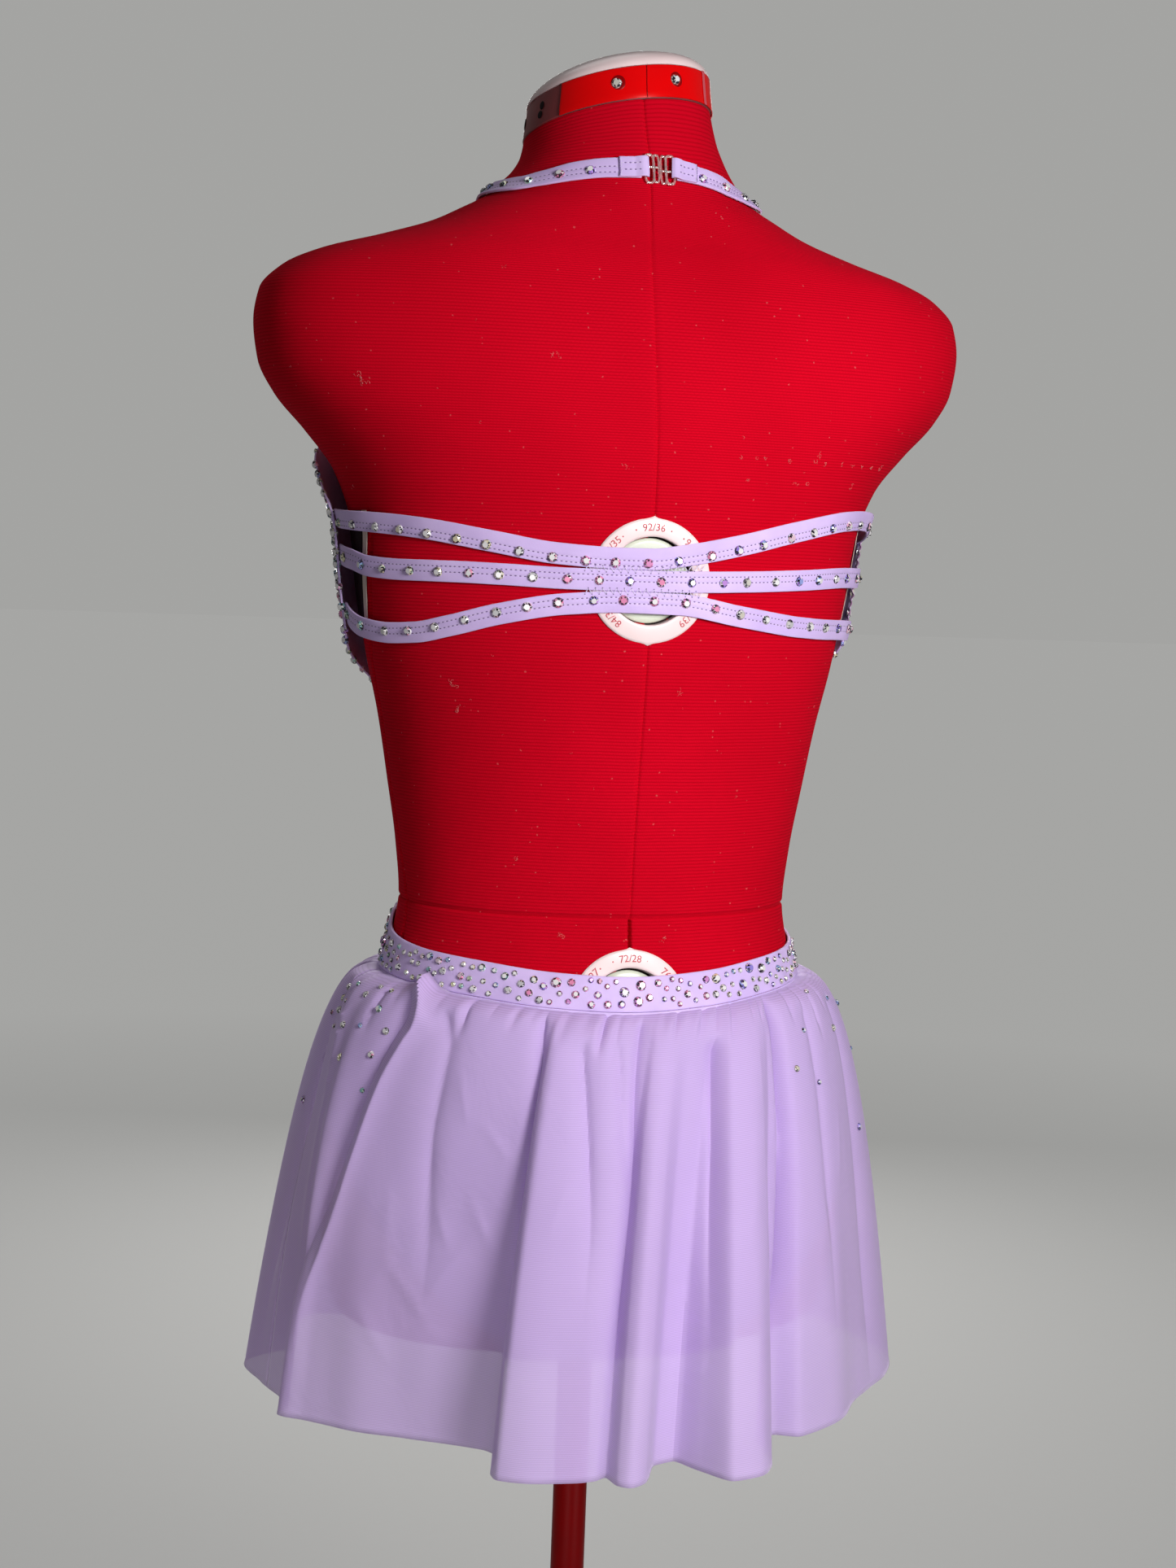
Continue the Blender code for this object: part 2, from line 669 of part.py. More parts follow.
def path_places(path, stations, closeness=8):
    """Places evenly spaced along a strap's path over the form."""
    table = [(float(place), *row) for place, row in enumerate(path)]
    fine = []
    for step in range((len(path) - 1) * closeness + 1):
        fine.append(read_table(table, step / closeness))
    points = [bare_form_point(level, radians(turn)) for turn, level in fine]
    lengths = [0.0]
    for first, last in zip(points, points[1:]):
        lengths.append(lengths[-1] + (last - first).length)
    rows = [(length, *place) for length, place in zip(lengths, fine)]
    return [read_table(rows, lengths[-1] * step / (stations - 1)) for step in range(stations)]


def ribbon_rows(places, width, outs, shares=(-0.5, 0.5)):
    """Rows across a ribbon that lies on the form along the given places."""
    rows = []
    for place, (turn, level) in enumerate(places):
        before = places[max(place - 1, 0)]
        after = places[min(place + 1, len(places) - 1)]
        along = bare_form_point(after[1], radians(after[0]))
        along -= bare_form_point(before[1], radians(before[0]))
        point, upward, round_way, normal = form_frame(level, radians(turn))
        side = along.cross(normal).normalized()
        row = []
        for share in shares:
            away = side * (width * share)
            level_share, turn_share = solve_tangents(away, upward, round_way)
            row.append(form_point(level + level_share, radians(turn) + turn_share, outs[place]))
        rows.append(row)
    return rows


def solve_tangents(away, upward, round_way):
    """Steps in level and turn that move a point by this much within the surface."""
    uu, ur, rr = upward.dot(upward), upward.dot(round_way), round_way.dot(round_way)
    au, ar = away.dot(upward), away.dot(round_way)
    whole = uu * rr - ur * ur
    return (au * rr - ar * ur) / whole, (ar * uu - au * ur) / whole


def make_back_straps(material, collection):
    for name, path in BACK_STRAPS.items():
        places = path_places(path, BACK_STRAP_STATIONS)
        outs = []
        for turn, level in places:
            angle = radians(turn)
            outs.append(FORM_GAP + dial_rise(level, angle) + strap_stand_off(angle))
        make_cloth(name, ribbon_rows(places, STRAP_WIDTH, outs), STRAP_WALL, material, collection)


def make_neck_strap(side, material, collection):
    reach = degrees((CLASP_LENGTH + 2 * SEAM_GAP) / NECK_BACK_RADIUS)
    end = reach + side * CLASP_TURN
    path = [*NECK_STRAP_PATH, Place(end, CLASP_LEVEL)]
    places = [(side * turn, level) for turn, level in path_places(path, NECK_STRAP_STATIONS)]
    outs = []
    for place in range(NECK_STRAP_STATIONS):
        outs.append(NECK_GAP + (BODICE_GAP - NECK_GAP) * max(1.0 - place / NECK_STRAP_EASE, 0.0))
    rows = ribbon_rows(places, NECK_STRAP_WIDTH, outs)
    top = BODICE_OUTLINE[-1]
    seam = [
        form_point(top.level + SEAM_GAP, side * radians(turn), BODICE_GAP)
        for turn in between(top.outer, top.inner, len(rows[0]))
    ]
    if (seam[0] - rows[1][0]).length > (seam[0] - rows[1][-1]).length:
        seam.reverse()
    rows[0] = seam
    name = "neck_strap_left" if side > 0 else "neck_strap_right"
    make_cloth(name, rows, STRAP_WALL, material, collection)


def clasp_outline(length, height):
    """A rounded plate's corners, anticlockwise."""
    corner = min(CLASP_CORNER, 0.4 * length)
    points = []
    for across, up, start in ((1, 1, 0), (-1, 1, 1), (-1, -1, 2), (1, -1, 3)):
        for step in range(4):
            angle = (start + step / 3) * pi / 2
            x = across * (length / 2 - corner) + corner * cos(angle)
            y = up * (height / 2 - corner) + corner * sin(angle)
            points.append((x, y))
    return points


def add_outline(curve, points):
    spline = curve.splines.new("POLY")
    spline.points.add(len(points) - 1)
    for point, (across, up) in zip(spline.points, points):
        point.co = (across, up, 0.0, 1.0)
    spline.use_cyclic_u = True


def make_clasp(material, collection):
    """The two flat halves of the clear clasp, each with a slot for its strap."""
    for name, step in (("neck_clasp_eye", 1), ("neck_clasp_hook", -1)):
        point, upward, round_way, normal = form_frame(CLASP_LEVEL, radians(CLASP_TURN))
        along = round_way.normalized()
        up = normal.cross(along).normalized()
        up = up if up.z > 0.0 else -up
        middle = point + along * step * (CLASP_LENGTH + SEAM_GAP) / 2
        middle += normal * (CLASP_GAP + CLASP_THICKNESS / 2)
        curve = bpy.data.curves.new(name, "CURVE")
        curve.dimensions = "2D"
        curve.fill_mode = "BOTH"
        curve.extrude = CLASP_THICKNESS / 2
        add_outline(curve, clasp_outline(CLASP_LENGTH, CLASP_HEIGHT))
        hole = clasp_outline(CLASP_SLOT_LENGTH, CLASP_SLOT_HEIGHT)
        slot = [(x + step * CLASP_SLOT_SHIFT, y) for x, y in hole]
        add_outline(curve, slot)
        thing = bpy.data.objects.new(name, curve)
        collection.objects.link(thing)
        curve.materials.append(material)
        thing.matrix_world = Matrix((
            (along.x, up.x, normal.x, middle.x),
            (along.y, up.y, normal.y, middle.y),
            (along.z, up.z, normal.z, middle.z),
            (0.0, 0.0, 0.0, 1.0),
        ))


# The skirt

def hem_point(hem_turn):
    """The hem seen from above, with its folds."""
    _, stand = read_table(SKIRT_FOLDS, degrees(hem_turn))
    radius = 1.0 / hypot(sin(hem_turn) / HEM_HALF_WIDTH, cos(hem_turn) / HEM_DEPTH) + stand
    return Vector((radius * sin(hem_turn), radius * cos(hem_turn), HEM_LEVEL))


def skirt_point(hem_turn, drop):
    """A point of the skirt's inner side: drop is 0 at the waistband and 1 at the hem."""
    top_turn, stand = read_table(SKIRT_FOLDS, degrees(hem_turn))
    top_turn = radians(top_turn)
    top_level = band_edges(top_turn)[0] - SEAM_GAP
    top = form_point(top_level, top_turn, SKIRT_OUT + dial_rise(top_level, top_turn))
    plain = 1.0 / hypot(sin(hem_turn) / HEM_HALF_WIDTH, cos(hem_turn) / HEM_DEPTH)
    hem = Vector((plain * sin(hem_turn), plain * cos(hem_turn), 0.0))
    flare = SIDE_FLARE + (BACK_FLARE - SIDE_FLARE) * cos(hem_turn) ** 2
    spread = drop ** flare
    point = Vector((top.x, top.y, 0.0)).lerp(hem, spread)
    outward = Vector((sin(hem_turn), cos(hem_turn), 0.0))
    gather = GATHER_DEPTH * (1.0 - cos(GATHER_COUNT * top_turn)) * 0.5
    gather *= smooth_step(drop, 0.0, GATHER_PLACE) * (1.0 - smooth_step(drop, GATHER_PLACE, GATHER_END))
    point += outward * (stand * drop + gather)
    point.z = top_level + (HEM_LEVEL - top_level) * drop
    return point


def even_hem_turns(first, last, count):
    """Turns that are evenly spaced along the folded hem."""
    fine = between(first, last, HEM_SAMPLES)
    points = [hem_point(turn) for turn in fine]
    lengths = [0.0]
    for before, after in zip(points, points[1:]):
        lengths.append(lengths[-1] + (after - before).length)
    turns = []
    place = 0
    for step in range(count):
        wanted = lengths[-1] * step / (count - 1)
        while place < len(fine) - 2 and lengths[place + 1] < wanted:
            place += 1
        share = (wanted - lengths[place]) / (lengths[place + 1] - lengths[place])
        turns.append(fine[place] + (fine[place + 1] - fine[place]) * share)
    return turns


def make_skirt(material, collection):
    split = SEAM_SPLIT / HEM_HALF_WIDTH
    half = SKIRT_COLUMNS // 2 + 1
    back = even_hem_turns(-pi / 2 + split, pi / 2 - split, half)
    left = even_hem_turns(pi / 2 + split, pi, half // 2 + 1)
    right = even_hem_turns(-pi, -pi / 2 - split, half // 2 + 1)
    for name, turns in (("skirt_back", back), ("skirt_front", left + right[1:])):
        rows = [[skirt_point(turn, drop) for turn in turns] for drop in reversed(SKIRT_DROPS)]
        make_cloth(name, rows, CLOTH_WALL, material, collection)


# The brief

def brief_level(edge, turn, share):
    """Level of a place on the brief: share 0 is the leg or gusset edge, 1 the waistband."""
    lower = BRIEF_BOTTOM + read_table(edge, abs(degrees(turn)))[0]
    upper = band_edges(turn)[0] - SEAM_GAP
    return lower + (upper - lower) * share


def brief_out(level, turn):
    low = 1.0 - smooth_step(level, BRIEF_EASE_LOW, BRIEF_EASE_HIGH)
    return BRIEF_GAP + dial_rise(level, turn) + BRIEF_BOTTOM_GAP * low


def make_brief(material, collection):
    """Back and front, on the same columns as the form, so that the cloth follows its facets."""
    shares = between(0.0, 1.0, BRIEF_ROWS)
    back = between(-pi / 2, pi / 2, FORM_COLUMNS // 2 + 1)
    front = between(pi / 2, 3 * pi / 2, FORM_COLUMNS // 2 + 1)
    split = SEAM_SPLIT / 2 / BRIEF_SIDE_RADIUS
    for turns in (back, front):
        turns[0] += split
        turns[-1] -= split
    pieces = (("brief_back", BRIEF_BACK_EDGE, back), ("brief_front", BRIEF_FRONT_EDGE, front))
    for name, edge, turns in pieces:
        rows = []
        for share in shares:
            row = []
            for turn in turns:
                turn = turn if turn <= pi else turn - 2 * pi
                level = brief_level(edge, turn, share)
                row.append(form_point(level, turn, brief_out(level, turn)))
            rows.append(row)
        make_cloth(name, rows, CLOTH_WALL, material, collection)


def make_gusset(material, collection):
    """The strip that wraps under the form and passes the pole on the wearer's left."""
    out = BRIEF_GAP + BRIEF_BOTTOM_GAP
    flat_start = FORM_BOTTOM + FORM_ROUND - FORM_ROUND * pi / 2
    levels = between(BRIEF_BOTTOM - SEAM_SPLIT, flat_start, GUSSET_EDGE_ROWS) + [flat_start - GUSSET_INSET]
    shares = between(-1.0, 1.0, GUSSET_COLUMNS)
    back, front = [], []
    for level in levels:
        back.append([form_point(level, GUSSET_BACK_TURN * share, out) for share in shares])
        front.append([form_point(level, pi - GUSSET_FRONT_TURN * share, out) for share in shares])
    under = []
    for share in between(0.0, 1.0, GUSSET_UNDER_ROWS)[1:-1]:
        aside = smooth_step(share, 0.0, GUSSET_BEND) * (1.0 - smooth_step(share, 1.0 - GUSSET_BEND, 1.0))
        narrow = 1.0 - GUSSET_WAIST * aside
        row = []
        for start, end in zip(back[-1], front[-1]):
            across = start.x + (end.x - start.x) * smooth_step(share, 0.0, 1.0)
            depth = start.y + (end.y - start.y) * share
            row.append(Vector((across * narrow + GUSSET_SHIFT * aside, depth, start.z)))
        under.append(row)
    make_cloth("brief_gusset", back + under + front[::-1], CLOTH_WALL, material, collection)


def main():
    clear_scene()
    collection = bpy.data.collections.new("lyrical dance costume on a dress form")
    bpy.context.scene.collection.children.link(collection)
    knit = make_material("Red knit cover", RED_KNIT, 0.85)
    red_plastic = make_material("Red plastic", RED_PLASTIC, 0.25)
    white_plastic = make_material("Pinkish white plastic", PINK_WHITE, 0.35)
    lavender = make_material("Lavender stretch cloth", LAVENDER, 0.55)
    sheer = make_material("Sheer lavender mesh", SHEER_LAVENDER, 0.6)
    clear = make_material("Clear plastic", CLEAR_PLASTIC, 0.15)
    make_torso(knit, collection)
    make_neck_fittings(red_plastic, white_plastic, collection)
    make_dial("bust", BUST_DIAL_LEVEL, white_plastic, collection)
    make_dial("waist", WAIST_DIAL_LEVEL, white_plastic, collection)
    make_stand(red_plastic, collection)
    make_waistband(lavender, collection)
    for side in (1, -1):
        make_bodice(side, lavender, collection)
        make_neck_strap(side, lavender, collection)
    make_back_straps(lavender, collection)
    make_clasp(clear, collection)
    make_skirt(sheer, collection)
    make_brief(lavender, collection)
    make_gusset(lavender, collection)


main()
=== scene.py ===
# The looks of a lyrical dance costume on its dress form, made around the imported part, in metres.
# The wearer faces -Y and the wearer's left is +X. Turn is 0 at the centre back and grows to the left.
import random
from math import cos, degrees, pi, radians, sin

import bmesh
import bpy
import numpy as np
from mathutils import Matrix, Vector


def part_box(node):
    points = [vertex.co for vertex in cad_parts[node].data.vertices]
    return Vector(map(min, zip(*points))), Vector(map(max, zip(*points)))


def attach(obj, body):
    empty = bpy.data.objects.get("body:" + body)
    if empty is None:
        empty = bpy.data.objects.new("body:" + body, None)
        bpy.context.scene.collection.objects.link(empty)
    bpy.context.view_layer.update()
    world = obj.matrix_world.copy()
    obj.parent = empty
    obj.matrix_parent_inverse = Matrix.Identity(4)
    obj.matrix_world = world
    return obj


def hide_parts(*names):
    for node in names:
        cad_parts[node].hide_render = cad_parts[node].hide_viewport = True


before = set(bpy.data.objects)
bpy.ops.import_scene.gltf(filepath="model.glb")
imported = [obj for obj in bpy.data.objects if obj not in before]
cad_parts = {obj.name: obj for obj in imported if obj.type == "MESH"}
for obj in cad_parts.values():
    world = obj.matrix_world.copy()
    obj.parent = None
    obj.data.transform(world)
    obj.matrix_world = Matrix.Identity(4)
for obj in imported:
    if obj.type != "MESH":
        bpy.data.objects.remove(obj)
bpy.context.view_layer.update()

scene = bpy.context.scene


def asMesh(name, shape):
    mesh = bpy.data.meshes.new(name)
    shape.to_mesh(mesh)
    shape.free()
    return mesh


# Camera, where the photo was taken from

photoCamera = {
    "turn": 15.0, "distance": 1.5, "height": 1.17, "aside": 0.0055,
    "pitch": 5.385, "roll": 2.153, "lens": 54.1, "sensor": 36.0,
}


def addCamera(view):
    turn, pitch, roll = (radians(view[name]) for name in ("turn", "pitch", "roll"))
    away = Vector((sin(turn), cos(turn), 0.0))
    right = Vector((-cos(turn), sin(turn), 0.0))
    place = away * view["distance"] + Vector((0.0, 0.0, view["height"])) - right * view["aside"]
    forward = -away * cos(pitch) - Vector((0.0, 0.0, sin(pitch)))
    up = right.cross(forward)
    axisX = right * cos(roll) + up * sin(roll)
    axisY = up * cos(roll) - right * sin(roll)
    lens = bpy.data.cameras.new("photo camera")
    lens.sensor_fit = "VERTICAL"
    lens.sensor_height = view["sensor"]
    lens.lens = view["lens"]
    camera = bpy.data.objects.new("photo camera", lens)
    camera.matrix_world = Matrix((axisX, axisY, -forward)).transposed().to_4x4()
    camera.location = place
    scene.collection.objects.link(camera)
    scene.camera = camera


addCamera(photoCamera)


# Light and floor

studio = {
    "world": (0.6, 0.6, 0.585), "worldStrength": 0.2, "seenStrength": 0.62,
    "floorSize": 80.0, "floorTint": (0.34, 0.34, 0.335), "floorFar": (0.8, 4.5), "floorNear": 0.45,
    # name: place, size across, power in watts, tint, level that it is aimed at, spread in degrees
    "lamps": {
        "key": ((-0.26, 0.9, 1.36), 0.34, 8.1, (1.0, 0.985, 0.975), 1.08, 180.0),
        "lowLeft": ((0.56, 1.2, 0.62), 0.8, 0.38, (1.0, 0.985, 0.975), 0.6, 50.0),
        "lowRight": ((-0.66, 1.14, 0.62), 0.8, 0.44, (1.0, 0.985, 0.975), 0.6, 50.0),
        "front": ((-0.8, -3.0, 1.5), 1.6, 52.0, (1.0, 0.985, 0.975), 1.08, 180.0),
        "top": ((0.3, -0.9, 3.2), 1.4, 5.0, (1.0, 1.0, 1.0), 1.08, 180.0),
    },
}


def seenBrighter(tree, look):
    # the plain surroundings are paler to the eye than the light they give
    seen = put(tree, "ShaderNodeLightPath").outputs["Is Camera Ray"]
    return spread(tree, seen, look["worldStrength"], look["seenStrength"])


def addStudio(look):
    world = bpy.data.worlds.new("studio")
    scene.world = world
    world.use_nodes = True
    sky = world.node_tree.nodes["Background"]
    sky.inputs["Color"].default_value = (*look["world"], 1.0)
    world.node_tree.links.new(seenBrighter(world.node_tree, look), sky.inputs["Strength"])
    for name, (place, size, power, tint, level, spreadAngle) in look["lamps"].items():
        lamp = bpy.data.lights.new(name, "AREA")
        lamp.shape = "DISK"
        lamp.size = size
        lamp.energy = power
        lamp.color = tint
        lamp.spread = radians(spreadAngle)
        holder = bpy.data.objects.new(name, lamp)
        holder.location = place
        holder.visible_camera = False
        aim = Vector((0.0, 0.0, level)) - holder.location
        holder.rotation_euler = aim.to_track_quat("-Z", "Y").to_euler()
        scene.collection.objects.link(holder)
    shape = bmesh.new()
    bmesh.ops.create_grid(shape, x_segments=2, y_segments=2, size=look["floorSize"] / 2)
    mesh = asMesh("floor", shape)
    floor = bpy.data.objects.new("floor", mesh)
    scene.collection.objects.link(floor)
    # near the stand the floor is lit, and far away it fades into the grey round it
    paint, tree, shader = startMaterial("floor", {"Roughness": 0.9})
    tree.links.new(seenBrighter(tree, look), shader.inputs["Emission Strength"])
    away = put(tree, "ShaderNodeVectorMath", {0: objectPlace(tree)}, operation="LENGTH").outputs["Value"]
    near = spread(tree, away, 1.0, 0.0, *look["floorFar"])
    grain = noiseAt(tree, objectPlace(tree), 60.0, 3.0)[0]
    black, dim = (0.0, 0.0, 0.0), tuple(part * look["floorNear"] for part in look["world"])
    pale = blendTint(tree, spread(tree, grain, 0.97, 1.0), black, look["floorTint"])
    tintBase(tree, shader, near, black, pale)
    tree.links.new(blendTint(tree, near, look["world"], dim), shader.inputs["Emission Color"])
    mesh.materials.append(paint)


# Node helpers

def put(tree, kind, inputs=None, **settings):
    node = tree.nodes.new(kind)
    for name, value in settings.items():
        setattr(node, name, value)
    for key, value in (inputs or {}).items():
        if isinstance(value, bpy.types.NodeSocket):
            tree.links.new(value, node.inputs[key])
        else:
            node.inputs[key].default_value = value
    return node


def calc(tree, operation, *values):
    return put(tree, "ShaderNodeMath", dict(enumerate(values)), operation=operation).outputs[0]


def spread(tree, value, low, high, start=0.0, end=1.0):
    # a value from start to end, taken to low to high
    keys = {"Value": value, "From Min": start, "From Max": end, "To Min": low, "To Max": high}
    return put(tree, "ShaderNodeMapRange", keys).outputs["Result"]


def blendTint(tree, share, first, last):
    node = put(tree, "ShaderNodeMix", {"Factor": share}, data_type="RGBA")
    for socket, tint in ((node.inputs[6], first), (node.inputs[7], last)):
        if isinstance(tint, bpy.types.NodeSocket):
            tree.links.new(tint, socket)
        else:
            socket.default_value = (*tint, 1.0)
    return node.outputs[2]


def newGroup(name, inputs, outputs):
    tree = bpy.data.node_groups.new(name, "ShaderNodeTree")
    for label, value in inputs.items():
        kind = "NodeSocketVector" if value is None else "NodeSocketFloat"
        socket = tree.interface.new_socket(name=label, in_out="INPUT", socket_type=kind)
        if value is not None:
            socket.default_value = value
    for label in outputs:
        tree.interface.new_socket(name=label, in_out="OUTPUT", socket_type="NodeSocketFloat")
    source = tree.nodes.new("NodeGroupInput").outputs
    result = tree.nodes.new("NodeGroupOutput").inputs
    return tree, source, result


def useGroup(tree, group, inputs):
    return put(tree, "ShaderNodeGroup", inputs, node_tree=group).outputs


def noiseAt(tree, place, scale, detail, **more):
    keys = {"Vector": place, "Scale": scale, "Detail": detail, **more}
    return put(tree, "ShaderNodeTexNoise", keys).outputs


def startMaterial(name, sockets):
    material = bpy.data.materials.new(name)
    material.use_nodes = True
    tree = material.node_tree
    shader = tree.nodes["Principled BSDF"]
    for label, value in sockets.items():
        shader.inputs[label].default_value = (*value, 1.0) if isinstance(value, tuple) else value
    return material, tree, shader


def tintBase(tree, shader, share, first, last):
    tree.links.new(blendTint(tree, share, first, last), shader.inputs["Base Color"])


def addBump(tree, shader, height, strength, distance):
    bump = put(tree, "ShaderNodeBump", {"Strength": strength, "Distance": distance, "Height": height})
    tree.links.new(bump.outputs["Normal"], shader.inputs["Normal"])


def objectPlace(tree):
    return put(tree, "ShaderNodeTexCoord").outputs["Object"]


def clothMap(tree):
    return put(tree, "ShaderNodeUVMap", uv_map="clothMap").outputs[0]


addStudio(studio)
# keeps the red and the lavender as pure as the photo shows them
scene.view_settings.view_transform = "Standard"
print("camera and studio ready")


# Shader groups that several finishes share

def makeKnitGroup():
    # rows of ribs along one way of the map, with small stitches along each row; its Shade is painted shade,
    # darker in the grooves between ribs and stitches
    inputs = {"Map": None, "Rib": 0.0013, "Wale": 0.001}
    tree, source, result = newGroup("ribbed knit", inputs, ("Height", "Shade"))

    def loops(value):
        return calc(tree, "ABSOLUTE", calc(tree, "SINE", calc(tree, "MULTIPLY", value, pi)))

    cut = put(tree, "ShaderNodeSeparateXYZ", {0: source["Map"]}).outputs
    drift = calc(tree, "MULTIPLY", noiseAt(tree, source["Map"], 22.0, 2.0)[0], 0.5)
    row = calc(tree, "ADD", calc(tree, "DIVIDE", cut["Y"], source["Rib"]), drift)
    half = calc(tree, "MULTIPLY", calc(tree, "FLOOR", row), 0.5)
    column = calc(tree, "ADD", calc(tree, "DIVIDE", cut["X"], source["Wale"]), half)
    height = calc(tree, "MULTIPLY", loops(row), spread(tree, loops(column), 0.7, 1.0))
    tree.links.new(height, result["Height"])
    tree.links.new(spread(tree, height, 0.0, 1.0, 0.0, 0.9), result["Shade"])
    return tree


def makeDriftGroup():
    # a slow change of tone over a surface
    inputs = {"Place": None, "Scale": 6.0, "Low": 0.0, "High": 1.0}
    tree, source, result = newGroup("tone drift", inputs, ("Shade",))
    noise = noiseAt(tree, source["Place"], source["Scale"], 4.0)[0]
    tree.links.new(spread(tree, noise, source["Low"], source["High"], 0.3, 0.7), result["Shade"])
    return tree


def makeSpeckGroup():
    # small specks of lint or dust, each a spot in its own cell
    inputs = {"Place": None, "Cells": 60.0, "Size": 0.06, "Share": 0.5}
    tree, source, result = newGroup("specks", inputs, ("Mask",))
    warp = noiseAt(tree, source["Place"], 400.0, 2.0)["Color"]
    bent = put(tree, "ShaderNodeVectorMath", {0: warp, "Scale": 0.0016}, operation="SCALE").outputs[0]
    place = put(tree, "ShaderNodeVectorMath", {0: source["Place"], 1: bent}, operation="ADD").outputs[0]
    cell = put(tree, "ShaderNodeTexVoronoi", {"Vector": place, "Scale": source["Cells"]}).outputs
    near = calc(tree, "LESS_THAN", cell["Distance"], source["Size"])
    pick = put(tree, "ShaderNodeSeparateColor", {0: cell["Color"]}).outputs[0]
    mask = calc(tree, "MULTIPLY", near, calc(tree, "LESS_THAN", pick, source["Share"]))
    tree.links.new(mask, result["Mask"])
    return tree


knitGroup = makeKnitGroup()
driftGroup = makeDriftGroup()
speckGroup = makeSpeckGroup()


def knitAt(tree, place, rib, wale):
    return useGroup(tree, knitGroup, {"Map": place, "Rib": rib, "Wale": wale})


def driftAt(tree, place, scale, low, high):
    return useGroup(tree, driftGroup, {"Place": place, "Scale": scale, "Low": low, "High": high})["Shade"]


def specksAt(tree, place, cells, size, share):
    return useGroup(tree, speckGroup, {"Place": place, "Cells": cells, "Size": size, "Share": share})["Mask"]


# Finishes

knitLook = {
    "dark": (0.33, 0.0004, 0.005), "light": (0.67, 0.0012, 0.016), "lint": (0.72, 0.16, 0.16),
    "rib": 0.00205, "wale": 0.0016, "bump": 0.45, "ribHeight": 0.00045,
}


def sheen(weight, roughness, tint):
    return {"Sheen Weight": weight, "Sheen Roughness": roughness, "Sheen Tint": tint}


def makeKnitFinish(look):
    material, tree, shader = startMaterial("red knit", {
        "Roughness": 0.9, "Specular IOR Level": 0.03, **sheen(0.1, 0.5, (0.9, 0.03, 0.08)),
    })
    knit = knitAt(tree, clothMap(tree), look["rib"], look["wale"])
    place = objectPlace(tree)
    drift = driftAt(tree, place, 9.0, 0.72, 1.0)
    # painted shade in the ribs' grooves, times a random drift of tone
    share = calc(tree, "MULTIPLY", spread(tree, knit["Shade"], 0.42, 1.0), drift)
    red = blendTint(tree, share, look["dark"], look["light"])
    speck, dust = specksAt(tree, place, 85.0, 0.055, 0.3), specksAt(tree, place, 240.0, 0.12, 0.1)
    lint = calc(tree, "MULTIPLY", calc(tree, "MAXIMUM", speck, dust), 0.4)
    tintBase(tree, shader, lint, red, look["lint"])
    addBump(tree, shader, knit["Height"], look["bump"], look["ribHeight"])
    return material


lavenderLook = {"low": (0.58, 0.43, 0.8), "high": (0.74, 0.57, 0.96)}


def makeLavenderFinish(look):
    # the costume's stretch cloth, smooth and a little shiny
    material, tree, shader = startMaterial("lavender stretch cloth", {
        "Roughness": 0.5, "Specular IOR Level": 0.25, **sheen(0.35, 0.35, (0.85, 0.75, 1.0)),
    })
    knit = knitAt(tree, clothMap(tree), 0.0006, 0.0005)
    drift = driftAt(tree, objectPlace(tree), 30.0, 0.25, 1.0)
    # painted shade in the fine ribs' grooves, times a random drift of tone
    share = calc(tree, "MULTIPLY", spread(tree, knit["Shade"], 0.8, 1.0), drift)
    tintBase(tree, shader, share, look["low"], look["high"])
    addBump(tree, shader, knit["Height"], 0.25, 0.00012)
    return material


sheerLook = {"low": (0.63, 0.47, 0.86), "high": (0.73, 0.545, 0.94), "thin": 0.59, "thick": 0.72}


def makeSheerFinish(look):
    # fine stretch mesh: see-through, with a faint grain where its threads cross, darkened there as painted
    # shade
    material, tree, shader = startMaterial("sheer lavender mesh", {
        "Roughness": 0.6, "Specular IOR Level": 0.15, **sheen(0.8, 0.5, (0.85, 0.72, 1.0)),
    })
    cloth = clothMap(tree)
    knit = knitAt(tree, cloth, 0.0011, 0.0009)
    drift = driftAt(tree, cloth, 14.0, 0.7, 1.0)
    # painted shade in the fine ribs' grooves, times a random drift of tone
    share = calc(tree, "MULTIPLY", spread(tree, knit["Shade"], 0.82, 1.0), drift)
    tintBase(tree, shader, share, look["low"], look["high"])
    tree.links.new(spread(tree, knit["Shade"], look["thin"], look["thick"]), shader.inputs["Alpha"])
    addBump(tree, shader, noiseAt(tree, cloth, 26.0, 3.0, Distortion=0.6)[0], 0.34, 0.004)
    return material


def makePlasticFinish(name, tint, wear, roughness, coat=0.0, gloss=0.5):
    material, tree, shader = startMaterial(name, {
        "Roughness": roughness, "Coat Weight": coat, "Coat Roughness": 0.08, "Specular IOR Level": gloss,
    })
    place = objectPlace(tree)
    drift = driftAt(tree, place, 40.0, 0.0, 0.35)
    speck = calc(tree, "MULTIPLY", specksAt(tree, place, 130.0, 0.07, 0.25), 0.8)
    tintBase(tree, shader, calc(tree, "MAXIMUM", drift, speck), tint, wear)
    tree.links.new(spread(tree, drift, roughness * 0.8, roughness * 1.3), shader.inputs["Roughness"])
    return material


